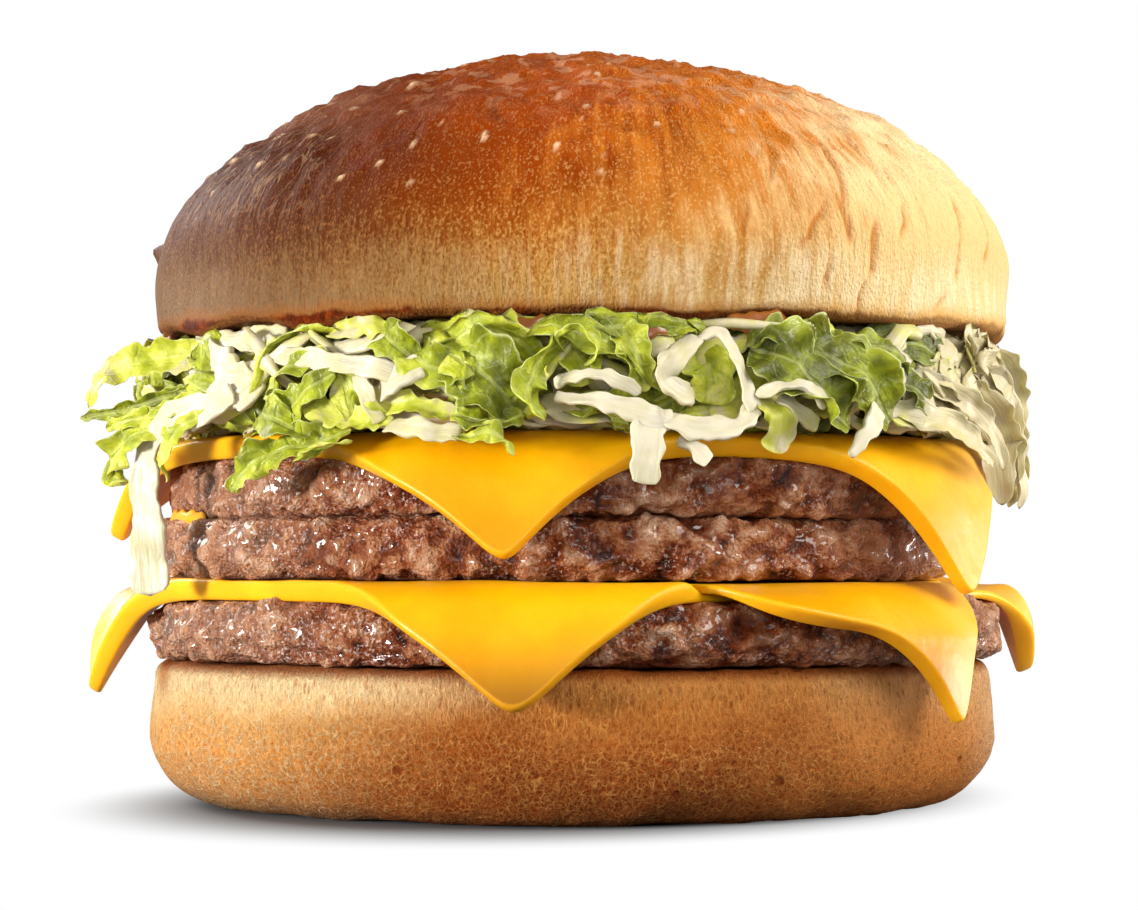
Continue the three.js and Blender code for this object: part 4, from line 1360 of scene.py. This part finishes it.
def shred_look(width, turn, frill, tone, seed, leafy):
    """A leaf is thin, cupped and pointed, a strip is thick and cut off square. What is green has shorter
    waves and crinkles more than what is pale."""
    green = tone > 0.2
    look = {"width": width, "turn": turn, "frill": frill, "tone": tone, "seed": seed,
            "ragged": 1.0 if green else 0.8, "wave": 5 + 0.45 * width[0] if green else 9}
    if leafy:
        return look | {"thickness": 0.32, "crinkle": 1.1 if green else 0.6, "cup": 0.35, "point": 3.2,
                       "square": 1.0}
    return look | {"thickness": 0.45 + 0.08 * width[0], "crinkle": 0.35, "cup": 0.1, "point": 20,
                   "square": 0.4}


def laid_by_hand(lines, rows, columns, leafy, behind):
    """Grids for every line of a table, in front or round the back."""
    batches = []
    for number, (width, turn, frill, tone, *knots) in enumerate(lines):
        look = shred_look(width, turn, frill, tone, number + 0.5 + 0.3 * behind, leafy)
        batches.append(one_ribbon(knots, look, rows, columns, behind))
    return batches


# %% [markdown]
# Behind them lie several hundred shreds strewn by a seeded random generator: most of them lie along the
# rim, a few lean or point outwards, and all of them stay between the cheese and the bun. A last handful
# of short pale ones lies further out on the right.

# %% Shreds strewn by chance
RIM_LOW, RIM_HIGH = 42.9, 54.0


def strewn(count, leafy, rows, columns, seed, around=(0, 360), out=0.0, longest=22, tones=None):
    """Shreds in the sector `around` in degrees, `out` mm further out than the others. Where their tones
    are given, they lie more calmly and lean at all angles."""
    rng = np.random.default_rng(seed)

    def between(low, high):
        """One draw for each shred."""
        return rng.uniform(low, high, count)

    calm, tilt = (1.0, 28) if tones is None else (0.35, 55)
    length = between(0.35 * longest, longest)
    lean = np.radians(rng.normal(0, tilt, count))
    bend = calm * rng.normal(0, 1, (count, 2)) * (1.2, 1.6)
    t = np.linspace(-0.5, 0.5, 4)
    arch = 1 - 4 * t**2
    radius = out + between(44.5, 50.5)[:, None] + bend[:, :1] * arch
    radius = radius + calm * (rng.normal(0, 0.16, count) * length)[:, None] * t
    azimuth = np.radians(between(*around))[:, None] + (length * np.cos(lean))[:, None] * t / 48
    width = between(2.6, 5.6) if leafy else between(1.2, 3.0)
    height = between(44, 53)[:, None] + (length * np.sin(lean))[:, None] * t + bend[:, 1:] * arch
    room = 0.3 * width[:, None]
    height = np.clip(height, RIM_LOW + room, RIM_HIGH - room)
    if tones:
        tone = between(*tones)
    elif leafy:
        tone = between(0.15, 0.9) ** 0.8
    else:
        tone = between(0.0, 0.22)
    look = {
        "width": np.stack([width, width * between(0.5, 1)], -1),
        "turn": calm * rng.normal(0, 38, (count, 2)),
        "frill": between(0.4, 1.1) if leafy else between(0.1, 0.35),
        "tone": tone,
        "seed": between(0, 60),
        "thickness": np.full(count, 0.32) if leafy else between(0.5, 1.0),
        "wave": between(5, 9),
        "crinkle": np.full(count, 0.8 if leafy else 0.3),
        "cup": between(-0.4, 0.4),
        "ragged": between(0.5, 1.2),
        "point": between(2.0, 4.0) if leafy else between(4, 14),
        "square": np.full(count, 1.0 if leafy else 0.6),
    }
    return ribbon_grids(place(radius, azimuth, height), look, rows, columns)


strips = ribbon_piece("lettuce_strips", *laid_by_hand(STRIPS, 40, 14, False, False),
                      *laid_by_hand(STRIPS, 28, 10, False, True), strewn(330, False, 14, 8, 81))
leaves = ribbon_piece("lettuce_leaves", *laid_by_hand(LEAVES, 56, 22, True, False),
                      *laid_by_hand(LEAVES, 34, 16, True, True), strewn(230, True, 14, 8, 84),
                      strewn(60, True, 12, 8, 86, around=(43, 71), out=1.5, longest=9, tones=(0.02, 0.16)))


# %% [markdown]
# The core fills the heap between the cheese and the bun. It only shows through the gaps, so its relief is
# that of shreds lying deeper in: ridges that run round the heap and bend up and down.

# %% Shape the core
CORE_RADIUS = 43
CORE_BULGE = 4.0
CORE_COLUMNS = 420


def core_grid(azimuth):
    """A disc with half an ellipse for a rim, from the upper slice of cheese to the bun, and its rim."""
    turn = arc(-90, 90, 44)
    low, high = patties["patty_upper"].high + 2.9, top_bun.low
    outline = outline_of(
        (np.linspace(0, CORE_RADIUS, 10)[:-1], 0.0),
        (CORE_RADIUS + CORE_BULGE * np.cos(turn) ** 0.6, (high - low) / 2 * (1 + np.sin(turn))),
        (np.linspace(CORE_RADIUS, 0, 10)[1:], high - low))
    radius, height = turn_outline(outline, azimuth)
    return place(radius, azimuth, height + low), smooth_step(radius, 38, 44)


core_points, core_rim = core_grid(azimuths(CORE_COLUMNS))
core_ridges = 1 - 2 * np.abs(lumps(core_points * (1, 1, 2.2), 5.0, 61))
core_ridges = core_ridges - 0.8 * np.abs(lumps(core_points, 2.2, 62))
core_points = core_points + outward(core_points) * (core_rim * 1.6 * (core_ridges - 0.4))[..., None]
core_tone = 0.3 + 0.6 * lumps(core_points, 5, 63)
core_place = np.stack([core_points[..., 0], core_points[..., 2], 0 * core_tone], -1)
core = turned_piece("lettuce_core", core_points, place=core_place, tone=core_tone.clip(0.1, 0.9))


# %% [markdown]
# A shred's colour comes from its tone, from the white of the ribs to the green of the leaf's edge, and
# patches shift it. Green parts have pale veins and a pale torn edge. White parts are fibrous and glassy.
# The patterns lie in the ribbon's own coordinates, so they bend with it.

# %% Colour the lettuce
def leaf_places(tree):
    """Where a point of a shred lies: along and across the ribbon, the same drawn out along it, how near
    the edge, its tone, and how much of a leaf it is."""
    where, tone = kept(tree, "place", "Vector"), kept(tree, "tone")
    on_ribbon = add_node(tree, "Mapping", {"Vector": where, "Scale": (MM, MM, 0)}).outputs["Vector"]
    drawn_out = add_node(tree, "Mapping", {"Vector": where, "Scale": (0.12 * MM, MM, 0)}).outputs["Vector"]
    return SimpleNamespace(on_ribbon=on_ribbon, fibre=noise(tree, drawn_out, 0.4, detail=4), tone=tone,
                           off_middle=calculate(tree, "ABSOLUTE", axis_of(tree, where, "Y")),
                           near_edge=axis_of(tree, where, "Z"), leafy=remap(tree, tone, 0.2, 0.5))


def leaf_tones(tree, at):
    """The colour by tone, which two sizes of patches shift, more so on a leaf than on a rib."""
    broad = remap(tree, noise(tree, at.on_ribbon, 3.2, detail=3), 0.3, 0.7, -0.2, 0.2)
    small = remap(tree, noise(tree, at.on_ribbon, 0.9, detail=4), 0.3, 0.7, -0.12, 0.12)
    shade = times(tree, plus(tree, broad, small), remap(tree, at.tone, 0.0, 0.3, 0.3, 1.0))
    return ramp(tree, plus(tree, at.tone, shade), (0.0, "#d6cdb4"), (0.14, "#c9bf8e"), (0.3, "#cccd50"),
                (0.48, "#adb428"), (0.66, "#939c1a"), (0.82, "#727a10"), (1.0, "#52580a"))


def leaf_veins(tree, at):
    """1 on the midrib, and weaker on a net of veins: the borders of Voronoi cells that noise has bent."""
    warp = add_node(tree, "TexNoise", {"Vector": at.on_ribbon, "Scale": 1 / (3 * MM), "Detail": 3.0})
    shift = add_node(tree, "VectorMath", {0: warp.outputs["Color"], "Scale": 2.4 * MM}, operation="SCALE")
    bent = add_node(tree, "VectorMath", {0: at.on_ribbon, 1: shift.outputs[0]}, operation="ADD")
    cells = add_node(tree, "TexVoronoi", {"Vector": bent.outputs[0], "Scale": 1 / (3.2 * MM)},
                     feature="DISTANCE_TO_EDGE")
    net = remap(tree, cells.outputs["Distance"], 0.0, 0.07, 0.5, 0.0)
    midrib = remap(tree, at.off_middle, 0.1, 0.4, 1.0, 0.0)
    return times(tree, calculate(tree, "MAXIMUM", net, midrib), at.leafy)


def lettuce_material():
    """Tone, veins, torn edge and glassy ribs, with the pale shreds on the far right tinted tan."""
    material, tree, shader = new_material("fresh_lettuce", Subsurface_Weight=0.25, Subsurface_Scale=0.0006,
                                          Subsurface_Radius=(1.0, 1.0, 0.5), Coat_Weight=0.06,
                                          Coat_Roughness=0.2, Specular_IOR_Level=0.3)
    at = leaf_places(tree)
    veins = leaf_veins(tree, at)
    leaf = blend(tree, times(tree, veins, 0.22), leaf_tones(tree, at), "#d9dc96")
    rim = times(tree, remap(tree, at.near_edge, 0.92, 1.0), at.leafy)
    leaf = blend(tree, times(tree, rim, 0.7), leaf, "#d6de86")
    clear = remap(tree, noise(tree, at.on_ribbon, 2.8, detail=3), 0.44, 0.6, 0.35, 1.0)
    glassy = times(tree, clear, remap(tree, at.fibre, 0.4, 0.66, 0.0, 0.6))
    glassy = times(tree, glassy, remap(tree, at.tone, 0.0, 0.4, 1.0, 0.1))
    leaf = blend(tree, glassy, leaf, "#b9b48a")
    far_right = remap(tree, axis_of(tree, object_place(tree), "X"), 0.034, 0.044)
    tan_tinted = times(tree, far_right, remap(tree, at.tone, 0.1, 0.3, 1.0, 0.0))
    leaf = blend(tree, times(tree, tan_tinted, 0.6), leaf, "#c2b184")
    tree.links.new(leaf, shader.inputs["Base Color"])
    tree.links.new(remap(tree, at.fibre, 0.3, 0.7, 0.32, 0.5), shader.inputs["Roughness"])
    puckers = times(tree, noise(tree, at.on_ribbon, 1.4, detail=4), times(tree, at.leafy, 2.6))
    relief = plus(tree, times(tree, at.fibre, 0.8), puckers)
    relief = minus(tree, relief, times(tree, veins, 0.5))
    tree.links.new(bump(tree, relief, 0.3, 0.85), shader.inputs["Normal"])
    return material


lettuce = lettuce_material()
for piece in (core, strips, leaves):
    finish_piece(piece, "lettuce_heap", lettuce)


# %% [markdown]
# ## Sauce with painted shade, and a drip of cheese
#
# A little sauce shows under the top of the bun, pinkish on the far left; elsewhere it is brown, painted
# shade that stands for the shaded underside of the bun. A corner of melted cheese has been squeezed out
# between the two upper patties on the left. They are short, thick ribbons, so the same formula makes them.

# %% Lay sauce and the drip
# A line gives the width and the turn at both ends, the frill, the thickness and the knots.
SAUCE = [
    ((4.6, 3.0), (0, 10), 0.2, 1.8, (-84, 46.5, 53.2), (-76, 48.6, 52.4), (-70, 48.4, 52.8)),
    ((3.2, 2.0), (10, 0), 0.2, 1.4, (-12, 48.6, 53.8), (-7, 49.8, 53.2), (-3, 49.0, 53.6)),
    ((3.4, 2.6), (0, 10), 0.2, 1.6, (4, 48.6, 53.6), (9, 50.0, 53.2), (13, 49.4, 53.4)),
    ((3.0, 2.2), (0, 0), 0.2, 1.4, (19, 49.0, 53.9), (24, 50.0, 53.6), (28, 49.4, 53.8)),
    ((4.2, 3.6), (0, -20), 0.2, 1.6, (79, 48.6, 52.8), (82, 49.8, 50.0), (84, 50.0, 46.5)),
    ((4.0, 2.4), (0, 10), 0.2, 1.6, (128, 47.8, 53.6), (140, 49.4, 52.6), (148, 48.6, 53.4)),
    ((3.6, 2.6), (0, 10), 0.2, 1.6, (202, 48.2, 53.4), (212, 49.6, 52.6), (222, 48.6, 53.2)),
]
DRIP = [
    ((2.6, 1.6), (0, 0), 0.1, 1.3, (-86, 45.0, 33.2), (-78, 47.2, 33.0), (-70, 47.4, 33.1),
     (-64, 46.4, 33.1)),
]


def soft_ribbons(lines):
    """Grids for short thick ribbons."""
    batches = []
    for number, (width, turn, frill, thickness, *knots) in enumerate(lines):
        look = {"width": width, "turn": turn, "frill": frill, "thickness": thickness,
                "seed": number + 0.2, "tone": 0, "ragged": 1.2, "wave": 6, "crinkle": 0.3, "cup": 0.1,
                "point": 2.4, "square": 1.0}
        batches.append(one_ribbon(knots, look, 36, 20))
    return batches


def sauce_and_shade_material():
    """Glossy sauce, pinkish on the far left, and elsewhere brown, as painted shade for the bun's shaded
    underside.
    """
    material, tree, shader = new_material("sauce_and_shade", Subsurface_Weight=0.4, Subsurface_Scale=0.001,
                                          Coat_Weight=0.5, Coat_Roughness=0.12, Roughness=0.3)
    spot = object_place(tree)
    brown = blend(tree, noise(tree, spot, 1.6, detail=4), "#6e300e", "#a8681e")
    # painted shade: the brown stands for the shaded underside of the bun; the pink on the far left is sauce
    tone = blend(tree, remap(tree, axis_of(tree, spot, "X"), -0.034, -0.02), "#c88c64", brown)
    tree.links.new(tone, shader.inputs["Base Color"])
    tree.links.new(bump(tree, noise(tree, spot, 0.9, detail=4), 0.15, 0.6), shader.inputs["Normal"])
    return material


finish_piece(ribbon_piece("sauce_and_shade_drops", *soft_ribbons(SAUCE)), None, sauce_and_shade_material())
finish_piece(ribbon_piece("cheese_drip", *soft_ribbons(DRIP)), None, cheese)


# %% [markdown]
# ## The floor
#
# The floor is a wide disc. Its own colour is a dim grey, so that little light bounces up to the undersides
# of the food. Outside an oval round the burger's foot the camera sees it glow as brightly as the
# surroundings, so the floor is white and there is no horizon. The grey oval, which fades to white at its
# edge and is turned to where the light throws the shadow, is itself a painted shadow; the real shadow
# falls inside it.

# %% Lay the floor
FLOOR_RADIUS = 1500
# painted shadow: this grey is what the camera sees inside the oval
FLOOR_GREY = (0.20, 0.21, 0.22, 1)


def floor_disc(columns=96):
    """A fan of triangles round the middle."""
    angle = azimuths(columns)
    points = np.vstack([np.zeros((1, 3)), place(FLOOR_RADIUS, angle, 0.0 * angle)])
    index = np.arange(columns)
    faces = np.stack([np.zeros(columns, int), index + 1, (index + 1) % columns + 1], -1)
    return mesh_piece("studio_floor", points, faces)


def floor_material():
    """A painted shadow: grey inside an oval that has been turned to where the light throws the shadow, and
    a glow that only the camera sees outside it."""
    material, tree, shader = new_material("studio_white", Roughness=0.9, Specular_IOR_Level=0.1)
    seen = add_node(tree, "LightPath").outputs["Is Camera Ray"]
    oval = {"Vector": object_place(tree), "Location": (-3 * MM, 5 * MM, 0),
            "Rotation": (0, 0, math.radians(-14)), "Scale": (46 * MM, 66 * MM, 1)}
    shadow = add_node(tree, "Mapping", oval, vector_type="TEXTURE").outputs["Vector"]
    away = add_node(tree, "VectorMath", {0: shadow}, operation="LENGTH").outputs["Value"]
    far = remap(tree, away, 0.78, 1.22)
    shader.inputs["Base Color"].default_value = FLOOR_GREY
    glow = add_node(tree, "Emission", {"Color": (1, 1, 1, 1), "Strength": 1.0})
    faded = add_node(tree, "MixShader", {0: times(tree, seen, far)})
    tree.links.new(shader.outputs[0], faded.inputs[1])
    tree.links.new(glow.outputs[0], faded.inputs[2])
    tree.links.new(faded.outputs[0], tree.nodes["Material Output"].inputs["Surface"])
    return material


floor = floor_disc()
floor.data.materials.append(floor_material())
